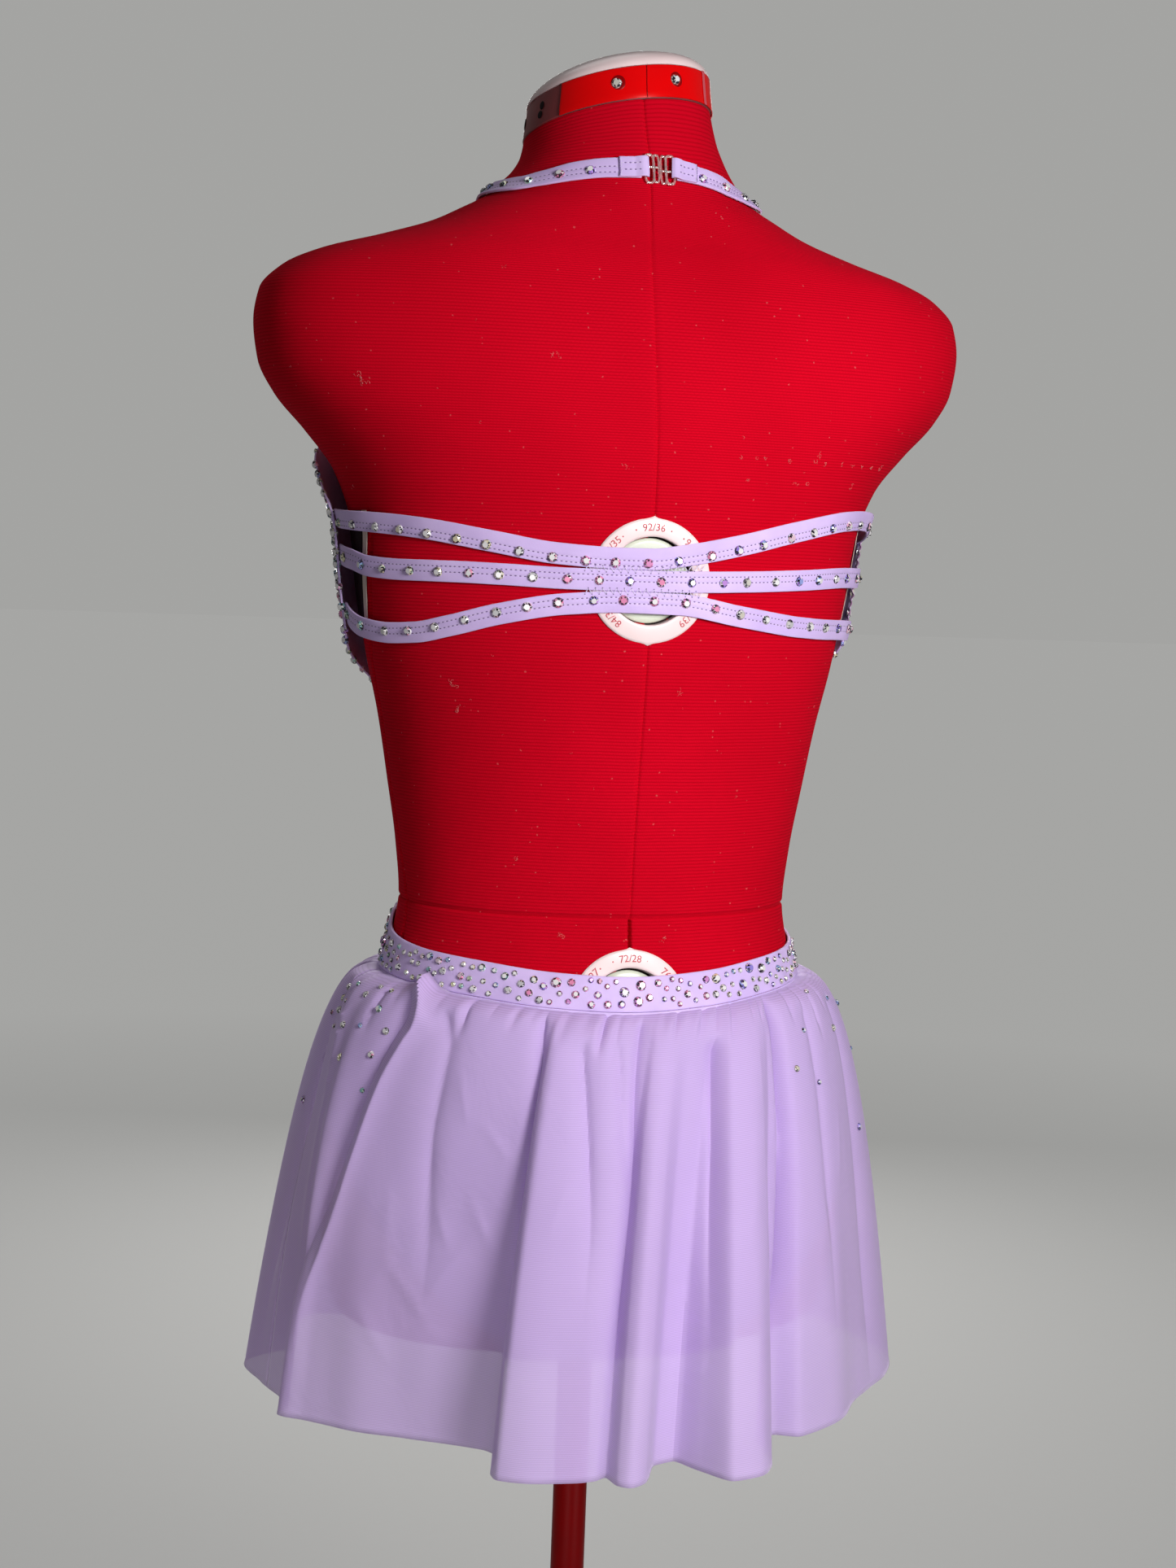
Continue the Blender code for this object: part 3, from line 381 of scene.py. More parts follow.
def makeStoneFinish():
    # crystal with a coloured coating: each stone has its own hue, and each facet painted light: painted near
    # black shade, its hue, or a painted white highlight
    material, tree, shader = startMaterial("coated crystal", {
        "Metallic": 0.25, "Roughness": 0.16, "Coat Weight": 1.0, "Coat Roughness": 0.03,
    })
    hue, glint = (put(tree, "ShaderNodeAttribute", attribute_name=name).outputs["Fac"]
                  for name in ("stoneHue", "facetGlint"))
    ramp = put(tree, "ShaderNodeValToRGB", {"Fac": hue})
    stops = (
        (0.0, (0.64, 0.64, 0.66)), (0.18, (0.86, 0.76, 0.46)), (0.32, (0.3, 0.66, 0.58)),
        (0.46, (0.34, 0.48, 0.86)), (0.6, (0.36, 0.24, 0.84)), (0.74, (0.92, 0.36, 0.68)),
        (0.88, (0.95, 0.3, 0.5)), (1.0, (0.82, 0.8, 0.86)),
    )
    colours = ramp.color_ramp.elements
    colours[0].position, colours[0].color = stops[0][0], (*stops[0][1], 1.0)
    colours[1].position, colours[1].color = stops[-1][0], (*stops[-1][1], 1.0)
    for place, tint in stops[1:-1]:
        colours.new(place).color = (*tint, 1.0)
    # low glints give painted shade, high ones a painted white highlight
    lit = spread(tree, glint, 0.0, 1.0, 0.3, 0.46)
    dark = blendTint(tree, lit, (0.02, 0.016, 0.03), ramp.outputs["Color"])
    bright = blendTint(tree, spread(tree, glint, 0.0, 1.0, 0.72, 0.86), dark, (1.0, 0.98, 1.0))
    tree.links.new(bright, shader.inputs["Base Color"])
    return material


def makeClearFinish():
    material, tree, shader = startMaterial("clear plastic", {
        "Base Color": (1.0, 0.93, 0.93), "Roughness": 0.06, "Transmission Weight": 0.8, "IOR": 1.49,
        "Coat Weight": 1.0, "Coat Roughness": 0.03,
    })
    scratch = noiseAt(tree, objectPlace(tree), 900.0, 2.0)[0]
    tree.links.new(spread(tree, scratch, 0.04, 0.14), shader.inputs["Roughness"])
    return material


def makeThreadFinish(name, low, high):
    material, tree, shader = startMaterial(name, {"Roughness": 0.55, "Sheen Weight": 0.3})
    twist = put(tree, "ShaderNodeTexWave", {"Vector": objectPlace(tree), "Scale": 900.0, "Distortion": 2.0})
    tintBase(tree, shader, twist.outputs["Fac"], low, high)
    return material


plastics = {
    # name, tint, worn tint, roughness, coat, gloss
    "redPlastic": ("red plastic", (0.8, 0.0, 0.001), (0.58, 0.001, 0.002), 0.28, 0.0, 0.14),
    "redPaint": ("red painted metal", (0.26, 0.0, 0.001), (0.18, 0.001, 0.002), 0.4, 0.0, 0.12),
    "whitePlastic": ("pinkish white plastic", (0.93, 0.75, 0.76), (0.74, 0.54, 0.55), 0.38, 0.15),
    "creamPlastic": ("cream plastic", (0.7, 0.56, 0.5), (0.5, 0.38, 0.34), 0.45),
    # pinkish white plastic darkened with painted shade and tinted with a painted red reflection
    "shadedPinkPlastic": ("pink plastic with painted shade and red reflection", (0.24, 0.045, 0.05), (0.18, 0.03, 0.035), 0.42, 0.0, 0.3),
    "knobPlastic": ("greenish white plastic", (0.74, 0.8, 0.66), (0.6, 0.62, 0.52), 0.35, 0.2),
    # near black, used only as painted shade: the side gap's opening, the dial wells and the neck ring's holes
    "darkPlastic": ("painted shade black", (0.012, 0.005, 0.006), (0.02, 0.008, 0.01), 0.6, 0.0, 0.1),
    # pink print for the dials' numbers, and a painted highlight on the neck strip's tab
    "printAndHighlightInk": ("pink print and painted highlight", (0.62, 0.07, 0.1), (0.7, 0.16, 0.18), 0.5),
}
threads = {
    # name, darkest and palest tint
    "paleThread": ("pale thread", (0.62, 0.5, 0.8), (0.86, 0.78, 0.95)),
    # dusky thread: the brief's stitches, and dark dashes painted as the shade of needle holes and bartacks
    "duskThread": ("dusky thread and painted stitch shade", (0.13, 0.07, 0.25), (0.22, 0.13, 0.36)),
    "lint": ("lint", (0.6, 0.12, 0.13), (0.82, 0.34, 0.32)),
    "frayed": ("frayed cloth", (0.16, 0.07, 0.2), (0.5, 0.26, 0.44)),
}
finish = {
    "knit": makeKnitFinish(knitLook), "lavender": makeLavenderFinish(lavenderLook),
    "sheer": makeSheerFinish(sheerLook), "stone": makeStoneFinish(), "clear": makeClearFinish(),
    **{key: makePlasticFinish(*row) for key, row in plastics.items()},
    **{key: makeThreadFinish(*row) for key, row in threads.items()},
}
print("finishes ready")


# Curves read from short tables, for many places at once

def smoothTable(rows, at):
    rows = np.asarray(rows, float)
    keys, values = rows[:, 0], rows[:, 1:]
    at = np.clip(np.atleast_1d(at), keys[0], keys[-1])
    rises = np.diff(values, axis=0) / np.diff(keys)[:, None]
    product, total = rises[:-1] * rises[1:], rises[:-1] + rises[1:]
    slopes = np.zeros_like(values)
    slopes[1:-1] = np.where(product > 0.0, 2.0 * product / np.where(total == 0.0, 1.0, total), 0.0)
    place = np.clip(np.searchsorted(keys, at) - 1, 0, len(keys) - 2)
    span = (keys[place + 1] - keys[place])[:, None]
    t = (at - keys[place])[:, None] / span
    return ((2 * t**3 - 3 * t**2 + 1) * values[place] + (t**3 - 2 * t**2 + t) * span * slopes[place]
            + (3 * t**2 - 2 * t**3) * values[place + 1] + (t**3 - t**2) * span * slopes[place + 1])


def ease(value, start, end):
    t = np.clip((value - start) / (end - start), 0.0, 1.0)
    return t * t * (3.0 - 2.0 * t)


def bell(value, width):
    return np.exp(-(value / width) ** 2)


def between(low, high, share):
    return low + (high - low) * share


def wrapTurn(turn):
    # a turn in degrees, brought to the half circles right and left of the centre back
    return (turn + 180.0) % 360.0 - 180.0


def stepsAlong(points):
    return np.linalg.norm(np.diff(points, axis=0), axis=1)


def runningSum(steps):
    return np.concatenate([[0.0], np.cumsum(steps)])


def drawMany(count, pick, *limits):
    return np.array([pick(*limits) for _ in range(count)])


def unit(vectors):
    return vectors / np.linalg.norm(vectors, axis=-1, keepdims=True)


def dot(first, last):
    return np.sum(first * last, axis=-1)


# The dress form's surface, which the cloth follows

formShape = {
    "bottom": 0.69, "round": 0.012,
    "tilt": 0.17, "lean": 0.16, "shift": 0.0035, "tiltStart": 1.4, "tiltLength": 0.04,
    "bustSpread": 0.08, "bustLevel": 1.175, "bustDepth": 0.034, "bustWidth": 0.062,
    "bustDrop": 0.052, "bustRise": 0.065, "bustEdge": 3.0,
    # level, half width, back, front, power
    "sections": (
        (0.69, 0.159, 0.11, 0.099, 2.1), (0.725, 0.167, 0.117, 0.102, 2.1),
        (0.77, 0.169, 0.121, 0.106, 2.1), (0.81, 0.165, 0.12, 0.109, 2.1), (0.85, 0.154, 0.114, 0.109, 2.1),
        (0.89, 0.14, 0.103, 0.105, 2.05), (0.93, 0.129, 0.092, 0.1, 2), (0.957, 0.125, 0.088, 0.097, 2),
        (0.99, 0.128, 0.089, 0.098, 2), (1.03, 0.1345, 0.093, 0.102, 2), (1.07, 0.1415, 0.098, 0.106, 2),
        (1.11, 0.1505, 0.102, 0.109, 2), (1.15, 0.157, 0.104, 0.109, 2.05),
        (1.19, 0.162, 0.106, 0.107, 2.1), (1.22, 0.173, 0.107, 0.104, 2.15),
        (1.244, 0.192, 0.106, 0.1, 2.2), (1.265, 0.211, 0.103, 0.095, 2.3),
        (1.286, 0.222, 0.099, 0.089, 2.4), (1.31, 0.225, 0.093, 0.082, 2.5),
        (1.328, 0.222, 0.088, 0.077, 2.5), (1.342, 0.209, 0.083, 0.072, 2.5),
        (1.352, 0.188, 0.08, 0.069, 2.45), (1.362, 0.154, 0.077, 0.066, 2.4),
        (1.373, 0.121, 0.075, 0.063, 2.3), (1.383, 0.101, 0.073, 0.06, 2.2),
        (1.392, 0.085, 0.071, 0.058, 2.1), (1.402, 0.075, 0.068, 0.056, 2), (1.412, 0.067, 0.065, 0.054, 2),
        (1.424, 0.061, 0.062, 0.053, 2), (1.44, 0.0575, 0.059, 0.052, 2), (1.47, 0.055, 0.055, 0.052, 2),
    ),
}


def signedPower(value, power):
    return np.abs(value) ** power * np.sign(value)


def bustRise(across, level):
    spreadOf = np.where(level < formShape["bustLevel"], formShape["bustDrop"], formShape["bustRise"])
    height = bell(level - formShape["bustLevel"], spreadOf)
    sides = sum(bell(across - side * formShape["bustSpread"], formShape["bustWidth"]) for side in (-1, 1))
    return formShape["bustDepth"] * height * sides


def leanNeck(across, depth, height):
    tilt = np.clip((height - formShape["tiltStart"]) / formShape["tiltLength"], 0.0, 1.0)
    lean = formShape["tilt"] * depth - formShape["lean"] * across
    return np.stack([across + formShape["shift"] * tilt, depth, height + lean * tilt], axis=-1)


def section(level, turn, grow=0.0):
    half, back, front, power = smoothTable(formShape["sections"], level).T
    across = (half + grow) * signedPower(np.sin(turn), 2.0 / power)
    depth = np.where(np.cos(turn) > 0.0, back + grow, front + grow) * signedPower(np.cos(turn), 2.0 / power)
    return across, depth


def formSkin(level, turn):
    roundTop = formShape["bottom"] + formShape["round"]
    edge = np.maximum(roundTop - level, 0.0)
    bend = np.minimum(edge / formShape["round"], pi / 2)
    inset = formShape["round"] * (1.0 - np.cos(bend)) + np.maximum(edge - formShape["round"] * pi / 2, 0.0)
    height = np.maximum(level, roundTop) - formShape["round"] * np.sin(bend)
    across, depth = section(np.maximum(level, roundTop), turn, -inset)
    fore = np.minimum(1.0, -formShape["bustEdge"] * np.cos(turn))
    depth = np.where(depth < 0.0, depth - bustRise(across, height) * fore, depth)
    return leanNeck(across, depth, height)


def formFrame(level, turn):
    # place, way up, way round and the way out of the surface
    level, turn = np.broadcast_arrays(np.atleast_1d(np.asarray(level, float)), np.asarray(turn, float))
    step, turnStep = 0.0015, radians(0.6)
    up = (formSkin(level + step, turn) - formSkin(level - step, turn)) / (2 * step)
    around = (formSkin(level, turn + turnStep) - formSkin(level, turn - turnStep)) / (2 * turnStep)
    return formSkin(level, turn), up, around, unit(np.cross(up, around))


def liftedSpot(level, turn, out):
    # places at a distance out of the form, and the way out there
    place, _, _, normal = formFrame(level, turn)
    return place + normal * np.reshape(out, (-1, 1)), normal


def formSpot(level, turn, out=0.0):
    return liftedSpot(level, turn, out)[0]


def turnAt(across, level, back=True):
    half, _, _, power = smoothTable(formShape["sections"], level).T
    angle = np.arcsin(np.clip(np.abs(across) / half, 0.0, 1.0) ** (power / 2.0))
    return np.where(across < 0.0, -1.0, 1.0) * (angle if back else pi - angle)


# Cloth and piece makers

def bendGrid(columns, rows, place, mapping=None, joined=False):
    # a flat grid whose points are bent to shape; joined closes it where its edges meet
    shape = bmesh.new()
    bmesh.ops.create_grid(shape, x_segments=columns, y_segments=rows, size=0.5)
    flat = np.array([point.co for point in shape.verts]) + 0.5
    u, w = np.clip(flat[:, 0], 0.0, 1.0), np.clip(flat[:, 1], 0.0, 1.0)
    spots = place(u, w)
    mapped = mapping(u, w) if mapping else (u, w)
    for point, spot in zip(shape.verts, spots):
        point.co = spot
    layer = shape.loops.layers.uv.new("clothMap")
    for face in shape.faces:
        for corner in face.loops:
            index = corner.vert.index
            corner[layer].uv = (mapped[0][index], mapped[1][index])
    if joined:
        bmesh.ops.remove_doubles(shape, verts=shape.verts[:], dist=0.000002)
    faceOut(shape)
    return shape


def faceOut(shape):
    heart = Vector((0.0, 0.0, 1.0))
    shape.normal_update()
    total = sum(face.normal.dot(face.calc_center_median() - heart) for face in list(shape.faces)[::5])
    if total < 0.0:
        bmesh.ops.reverse_faces(shape, faces=shape.faces[:])


def closeEnds(shape, longest=1.0):
    # fills the openings whose edges are shorter than the longest
    rims = [edge for edge in shape.edges if edge.is_boundary and edge.calc_length() < longest]
    bmesh.ops.holes_fill(shape, edges=rims, sides=0)


def makePiece(name, shape, paint, replaces=(), wall=0.0, rim=0.0):
    mesh = asMesh(name, shape)
    mesh.materials.append(finish[paint])
    mesh.shade_smooth()
    mesh.set_sharp_from_angle(angle=radians(38.0))
    piece = bpy.data.objects.new(name, mesh)
    scene.collection.objects.link(piece)
    if wall:
        solid = piece.modifiers.new("wall", "SOLIDIFY")
        solid.thickness = wall
        solid.offset = 1.0
        solid.use_even_offset = True
    if rim:
        bevel = piece.modifiers.new("rim", "BEVEL")
        bevel.width = rim
        bevel.segments = 2
        bevel.limit_method = "ANGLE"
        bevel.angle_limit = radians(50.0)
    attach(piece, "root")
    if replaces:
        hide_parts(*replaces)
    return piece


# The form's knit cover

coverLook = {
    "columns": 300, "rows": 284, "waistSeam": 0.956, "seamDepth": 0.0014, "seamWidth": 0.0013,
    "backSeamDepth": 0.0012, "backSeamWidth": 0.0012, "backSeamStep": 0.0006, "pocketDepth": 0.005,
    "slitDepth": 0.003, "slitWidth": 0.0016, "gapDepth": 0.0045, "gapWidth": 0.0017,
    # level, turn of the gap between the form's panels
    "gap": (
        (0.7, 79), (0.9, 78.5), (0.942, 79.9), (0.96, 81.9), (1.03, 87.5), (1.105, 84.9), (1.131, 80),
        (1.161, 76.9), (1.19, 73.9), (1.24, 72), (1.32, 80),
    ),
    # share of the rows, level
    "rowShares": (
        (0, 0.671), (0.03, 0.69), (0.08, 0.705), (0.36, 0.948), (0.46, 0.964), (0.78, 1.3), (0.92, 1.385),
        (1, 1.437),
    ),
    # share of the columns, turn in degrees
    "columnShares": (
        (0, -180), (0.1, -92), (0.26, -70), (0.42, -8), (0.44, -2.2), (0.56, 2.2), (0.58, 8), (0.74, 70),
        (0.9, 92), (1, 180),
    ),
}
dialShape = {
    "bust": 1.16, "waist": 0.9, "outer": 0.037, "hole": 0.0262, "knob": 0.0248,
    "easeStart": 0.004, "easeEnd": 0.026,
    "rise": 0.001, "point": 0.0013, "pointWidth": 0.055, "knobShift": 0.0011,
}


clothRadius = 0.14  # of the form, where turns are taken for lengths


def dialAway(level, turn, centre):
    across = formSkin(level, turn)[:, 0]
    return np.where(np.cos(turn) > 0.0, np.hypot(across, level - centre), 1.0)


def makeCover(look):
    def spots(u, w):
        level = np.interp(w, *zip(*look["rowShares"]))
        return level, np.radians(np.interp(u, *zip(*look["columnShares"])))

    def place(u, w):
        level, turn = spots(u, w)
        across = formSkin(level, turn)[:, 0]
        out = -look["seamDepth"] * bell(level - look["waistSeam"], look["seamWidth"])
        backOnly = np.cos(turn) > 0.0
        aside = np.where(backOnly, across - 0.0035 * ease(level, 1.4, 1.44), 1.0)
        out -= look["backSeamDepth"] * bell(aside, look["backSeamWidth"]) * ease(level, 0.7, 0.72)
        out += look["backSeamStep"] * ease(aside, -0.0006, 0.0004) * (1.0 - ease(aside, 0.004, 0.03))
        slit = 1.0 - ease(level, look["waistSeam"] - 0.002, look["waistSeam"] - 0.0005)
        out -= look["slitDepth"] * bell(aside, look["slitWidth"] / 2) * slit * ease(level, 0.9, 0.91)
        gapTurn = smoothTable(look["gap"], level)[:, 0]
        fromGap = (np.abs(np.degrees(turn)) - gapTurn) * radians(1.0) * clothRadius
        out -= look["gapDepth"] * bell(fromGap, look["gapWidth"]) * (1.0 - ease(level, 1.184, 1.2))
        for name in ("bust", "waist"):
            away = dialAway(level, turn, dialShape[name])
            out -= look["pocketDepth"] * (1.0 - ease(away, dialShape["hole"], dialShape["hole"] + 0.005))
        return formSpot(level, turn, out)

    def mapping(u, w):
        levels = np.linspace(0.66, 1.45, 400)
        length = runningSum(stepsAlong(formSkin(levels, np.full(400, radians(50.0)))))
        level, turn = spots(u, w)
        return turn * clothRadius, np.interp(level, levels, length)

    shape = bendGrid(look["columns"], look["rows"], place, mapping, joined=True)
    closeEnds(shape)
    return makePiece("formCover", shape, "knit", ["form_torso"])


makeCover(coverLook)

sidePlates = {"from": 1.13, "to": 1.196, "wall": 0.0004, "cream": (1.6, 4.6), "dark": (4.5, 22.0)}


def makeSidePlates(look):
    # the form's inner plate in the side gap: its pale edge, and beside it a near black sheet, painted shade
    # of the gap's opening
    for side, sideName in ((1, "left"), (-1, "right")):
        for kind, lift in (("cream", 0.0006), ("dark", 0.0003)):
            def place(u, w, side=side, kind=kind, lift=lift):
                level = between(look["from"], look["to"], w)
                turn = smoothTable(coverLook["gap"], level)[:, 0] + between(*look[kind], u)
                out = lift * np.minimum(1.0, 6.0 * (1.0 - w)) + 0.0001
                return formSpot(level, side * np.radians(turn), out)

            makePiece(f"{sideName}{kind.title()}Plate", bendGrid(8, 40, place), f"{kind}Plastic",
                      wall=look["wall"])


makeSidePlates(sidePlates)
print("form cover ready")


# Stones and stitches: one small shape, copied to many places

def makeStoneCut():
    shape = bmesh.new()
    bmesh.ops.create_cone(shape, cap_ends=True, segments=12, radius1=0.5, radius2=0.44, depth=0.14)
    bmesh.ops.translate(shape, verts=shape.verts[:], vec=(0.0, 0.0, 0.07))
    top = max(shape.faces, key=lambda face: face.calc_center_median().z)
    crown = bmesh.ops.extrude_face_region(shape, geom=[top])
    table = [item for item in crown["geom"] if isinstance(item, bmesh.types.BMVert)]
    bmesh.ops.delete(shape, geom=[top], context="FACES_ONLY")
    turned = Matrix.Rotation(radians(15.0), 4, "Z") @ Matrix.Diagonal((0.6, 0.6, 1.0, 1.0))
    bmesh.ops.transform(shape, matrix=turned, verts=table)
    bmesh.ops.translate(shape, verts=table, vec=(0.0, 0.0, 0.17))
    walls = [face for face in shape.faces if len(face.verts) == 4]
    bmesh.ops.triangulate(shape, faces=walls)
    return asMesh("stone cut", shape)


def makeStitchCut():
    shape = bmesh.new()
    bmesh.ops.create_icosphere(shape, subdivisions=1, radius=0.5)
    return asMesh("stitch cut", shape)


def makeRoundCut():
    shape = bmesh.new()
    bmesh.ops.create_uvsphere(shape, u_segments=20, v_segments=10, radius=0.5)
    return asMesh("round cut", shape)


stoneCut = makeStoneCut()
stitchCut = makeStitchCut()
roundCut = makeRoundCut()


def frameMatrix(place, ahead, normal, size):
    z = Vector(normal).normalized()
    x = (Vector(ahead) - z * Vector(ahead).dot(z)).normalized()
    y = z.cross(x)
    turn = Matrix((x, y, z)).transposed().to_4x4()
    return Matrix.Translation(Vector(place)) @ turn @ Matrix.Diagonal((*size, 1.0))


def scatterShape(cut, matrices):
    # one copy of the cut shape for each matrix
    shape = bmesh.new()
    for _ in matrices:
        shape.from_mesh(cut)
    flat = np.array([point.co for point in cut.vertices])
    turned = np.array([[list(row) for row in matrix] for matrix in matrices])
    spots = np.einsum("nij,vj->nvi", turned[:, :3, :3], flat) + turned[:, None, :3, 3]
    for point, spot in zip(shape.verts, spots.reshape(-1, 3)):
        point.co = spot
    shape.normal_update()
    return shape


def makeStones(name, spots, draw):
    # spots: place, normal, size across, hue from 0 to 1
    matrices = []
    for place, normal, size, _ in spots:
        ahead = Vector(drawMany(3, draw.uniform, -1, 1))
        tilted = Vector(normal).normalized() + 0.09 * ahead  # glued by hand
        matrices.append(frameMatrix(place, ahead, tilted, (size, size, size)))
    shape = scatterShape(stoneCut, matrices)
    hueLayer = shape.faces.layers.float.new("stoneHue")
    glintLayer = shape.faces.layers.float.new("facetGlint")
    count = len(stoneCut.polygons)
    rises = [face.normal.z for face in stoneCut.polygons]
    for index, face in enumerate(shape.faces):
        face[hueLayer] = min(max(spots[index // count][3] + draw.uniform(-0.09, 0.09), 0.0), 1.0)
        rise = rises[index % count]
        if rise > 0.95:  # the flat table, mostly a painted white highlight
            face[glintLayer] = draw.choice((0.95, 0.95, 0.9, 0.62))
        elif rise > 0.2:  # the facets round it: painted shade, their hue or a painted highlight
            face[glintLayer] = draw.choice((0.0, 0.0, 0.0, 0.34, 0.55, 0.62, 0.66, 0.9))
        else:  # the foiled rim, painted near black as shade
            face[glintLayer] = 0.0
    piece = makePiece(name, shape, "stone")
    piece.data.shade_flat()
    return piece


def spaceOut(places, normals, sizes, gap, draw):
    # keeps each place that is clear of the ones kept before it
    kept = []
    for index in range(len(places)):
        if kept:
            away = np.linalg.norm(places[kept] - places[index], axis=1)
            if np.any(away < (sizes[kept] + sizes[index]) / 2 + gap):
                continue
        kept.append(index)
    return [(places[index], normals[index], sizes[index], stoneHue(places[index], draw)) for index in kept]


def makeStitches(name, spots, paint, cut=stitchCut):
    # spots: place, way along, normal, size
    makePiece(name, scatterShape(cut, [frameMatrix(*spot) for spot in spots]), paint)


def stitchRow(places, ways, normals, size):
    return [(place, way, normal, size) for place, way, normal in zip(places, ways, normals)]


def stoneHue(place, draw):
    # the coating reads pink near the centre back, green and gold to the left, silver and blue to the right
    across = place[0]
    if place[1] < 0.0:
        return draw.random()
    if abs(across) < 0.055:
        return draw.choice((0.6, 0.66, 0.74, 0.8, 0.86))
    if across > 0.0:
        return draw.choice((0.0, 0.0, 0.14, 0.18, 0.22, 0.32, 0.0, 0.98, 0.9, 0.46))
    return draw.choice((0.0, 0.0, 0.02, 0.46, 0.55, 0.98, 0.98, 0.14))


# Lint on the cover

lintLook = {
    # level, turn, spread, count, size of a curl
    "tufts": (
        (1.2716, 49.3, 0.0034, 9, 0.0034), (1.2893, 12.3, 0.0022, 6, 0.0022),
        (1.2258, 4.7, 0.0024, 6, 0.0024), (1.0943, 48.3, 0.003, 8, 0.0026), (1.08, 47.8, 0.0026, 6, 0.0024),
        (0.9452, 19.3, 0.0022, 6, 0.0022), (1.239, -33, 0.0022, 5, 0.0022),
        (0.943, -9.5, 0.0026, 6, 0.0022), (1.096, -8, 0.003, 6, 0.002), (0.99, 33, 0.0022, 5, 0.002),
        (1.03, -30, 0.002, 4, 0.0018), (1.34, 20, 0.002, 4, 0.0018), (1.21, 150, 0.0024, 5, 0.0022),
        (1.02, 200, 0.0024, 5, 0.0022), (1.17, -120, 0.002, 4, 0.002),
    ),
    # two short rows of pulled loops right of the centre: level, turns
    "loops": (
        (1.235, (-15, -18, -20, -26, -33, -36, -41, -45, -49, -54, -59)), (1.2215, (-18, -30, -34, -50)),
    ),
    "loopSize": 0.0024, "seeds": 70, "seedLevels": (0.96, 1.36), "seedTurns": (-90, 270),
    "seedSizes": (0.001, 0.002),
}


def makeCurlCut():
    # a short thin fibre bent into an open ring
    def place(u, w):
        angle, tube = u * 4.2, w * 2 * pi
        away = 0.5 + 0.035 * np.cos(tube) - 0.12 * u
        rise = 0.035 * np.sin(tube) + 0.1 * np.sin(angle * 2)
        return np.column_stack([away * np.cos(angle), away * np.sin(angle), rise])

    return asMesh("curl cut", bendGrid(10, 3, place, joined=True))


def makeLint(look):
    draw = random.Random(3)
    rows = [(level, turn, wide, size)
            for level, turn, wide, count, size in look["tufts"] for _ in range(count)]
    rows += [(level, turn, 0.0012, look["loopSize"])
             for level, turns in look["loops"] for turn in turns for _ in range(3)]
    rows += [(draw.uniform(*look["seedLevels"]), draw.uniform(*look["seedTurns"]), 0.002,
              draw.uniform(*look["seedSizes"])) for _ in range(look["seeds"])]
    matrices = []
    for level, turn, wide, size in rows:
        level += draw.gauss(0.0, wide * 0.5)
        turn += degrees(draw.gauss(0.0, wide * 0.5) / clothRadius)
        place, up, around, normal = (item[0] for item in formFrame(level, radians(turn)))
        ahead = up * draw.uniform(-1, 1) + unit(around) * draw.uniform(-1, 1)
        size *= draw.uniform(0.5, 1.1)
        size = (size, size * draw.uniform(0.4, 1.0), size)
        matrices.append(frameMatrix(place + normal * 0.0002, ahead, normal, size))
    makePiece("coverLint", scatterShape(makeCurlCut(), matrices), "lint")


makeLint(lintLook)
print("lint ready")


# Neck top: pinkish ring with painted shade and red reflection, red strip, studs and domed cap

neckTop = {
    "radius": 0.056, "bottom": 1.4373, "height": 0.02, "proud": 0.0012,
    "capHeight": 0.019, "capRadius": 0.055, "stripFrom": -128.0, "stripTo": 51.5, "stripWall": 0.0007,
    "studs": (16.0, -21.0), "studSize": 0.0066, "dimple": (0.0086, 0.0094, 0.0009), "studShare": 0.52,
    # turn, share of the ring's height, size along and up
    "holes": ((68.0, 0.62, 0.0046, 0.0052), (69.0, 0.36, 0.005, 0.0048), (94.0, 0.5, 0.0044, 0.007)),
    "seamTurn": -2.0, "seamWidth": 0.0005, "tabTurn": -49.0, "tabWidth": 0.003,
}


def neckSpot(level, turn, grow, rise=0.0):
    across, depth = section(level, turn, grow)
    return leanNeck(across, depth, level + rise)


def makeNeckTop(look):
    low, high, middle = look["bottom"], look["bottom"] + look["height"], look["proud"] * 0.5
    levels, grows = (low, low + 0.0008, high - 0.001, high), (0.0, middle, middle, 0.0)

    def ringPlace(u, w):
        level, grow = (np.interp(w * 3, range(4), row) for row in (levels, grows))
        return neckSpot(level, u * 2 * pi, grow)

    shape = bendGrid(96, 3, ringPlace, joined=True)
    closeEnds(shape)
    # its colour is painted shade and red reflection on pinkish white plastic
    makePiece("neckRing", shape, "shadedPinkPlastic", ["form_neck_band"])

    def stripPlace(u, w):
        turn = np.radians(between(look["stripFrom"], look["stripTo"], u))
        level = low + 0.0003 + (high - low - 0.0006) * w
        return neckSpot(level, turn, middle + 0.0002)

    def tabPlace(u, w):
        turn = radians(look["tabTurn"]) + (u - 0.5) * look["tabWidth"] / look["radius"]
        return neckSpot(between(low, high, w), turn, middle + 0.0011)

    def seamPlace(u, w):
        turn = radians(look["seamTurn"]) + (u - 0.5) * look["seamWidth"] / look["radius"]
        return neckSpot(low + 0.0004 + (high - low - 0.0008) * w, turn, middle + 0.0009)

    makePiece("neckStrip", bendGrid(120, 6, stripPlace), "redPlastic", wall=look["stripWall"],
              rim=0.0002)
    # the tab on the strip's overlapping end: its pink is a painted highlight
    makePiece("neckTab", bendGrid(6, 6, tabPlace), "printAndHighlightInk", wall=0.0004, rim=0.00015)
    makePiece("neckSeam", bendGrid(2, 6, seamPlace), "redPaint", wall=0.0002)
    addNeckDetails(look, low, high)

    def capPlace(u, w):
        share = np.sin(w * pi / 2 * 0.985)
        grow = 0.0008 - look["capRadius"] * (1.0 - np.sqrt(1.0 - share**2))
        return neckSpot(np.full_like(u, high + 0.0003), u * 2 * pi, grow, look["capHeight"] * share)

    shape = bendGrid(96, 24, capPlace, joined=True)
    closeEnds(shape)
    makePiece("neckCap", shape, "whitePlastic", ["form_neck_cap"])


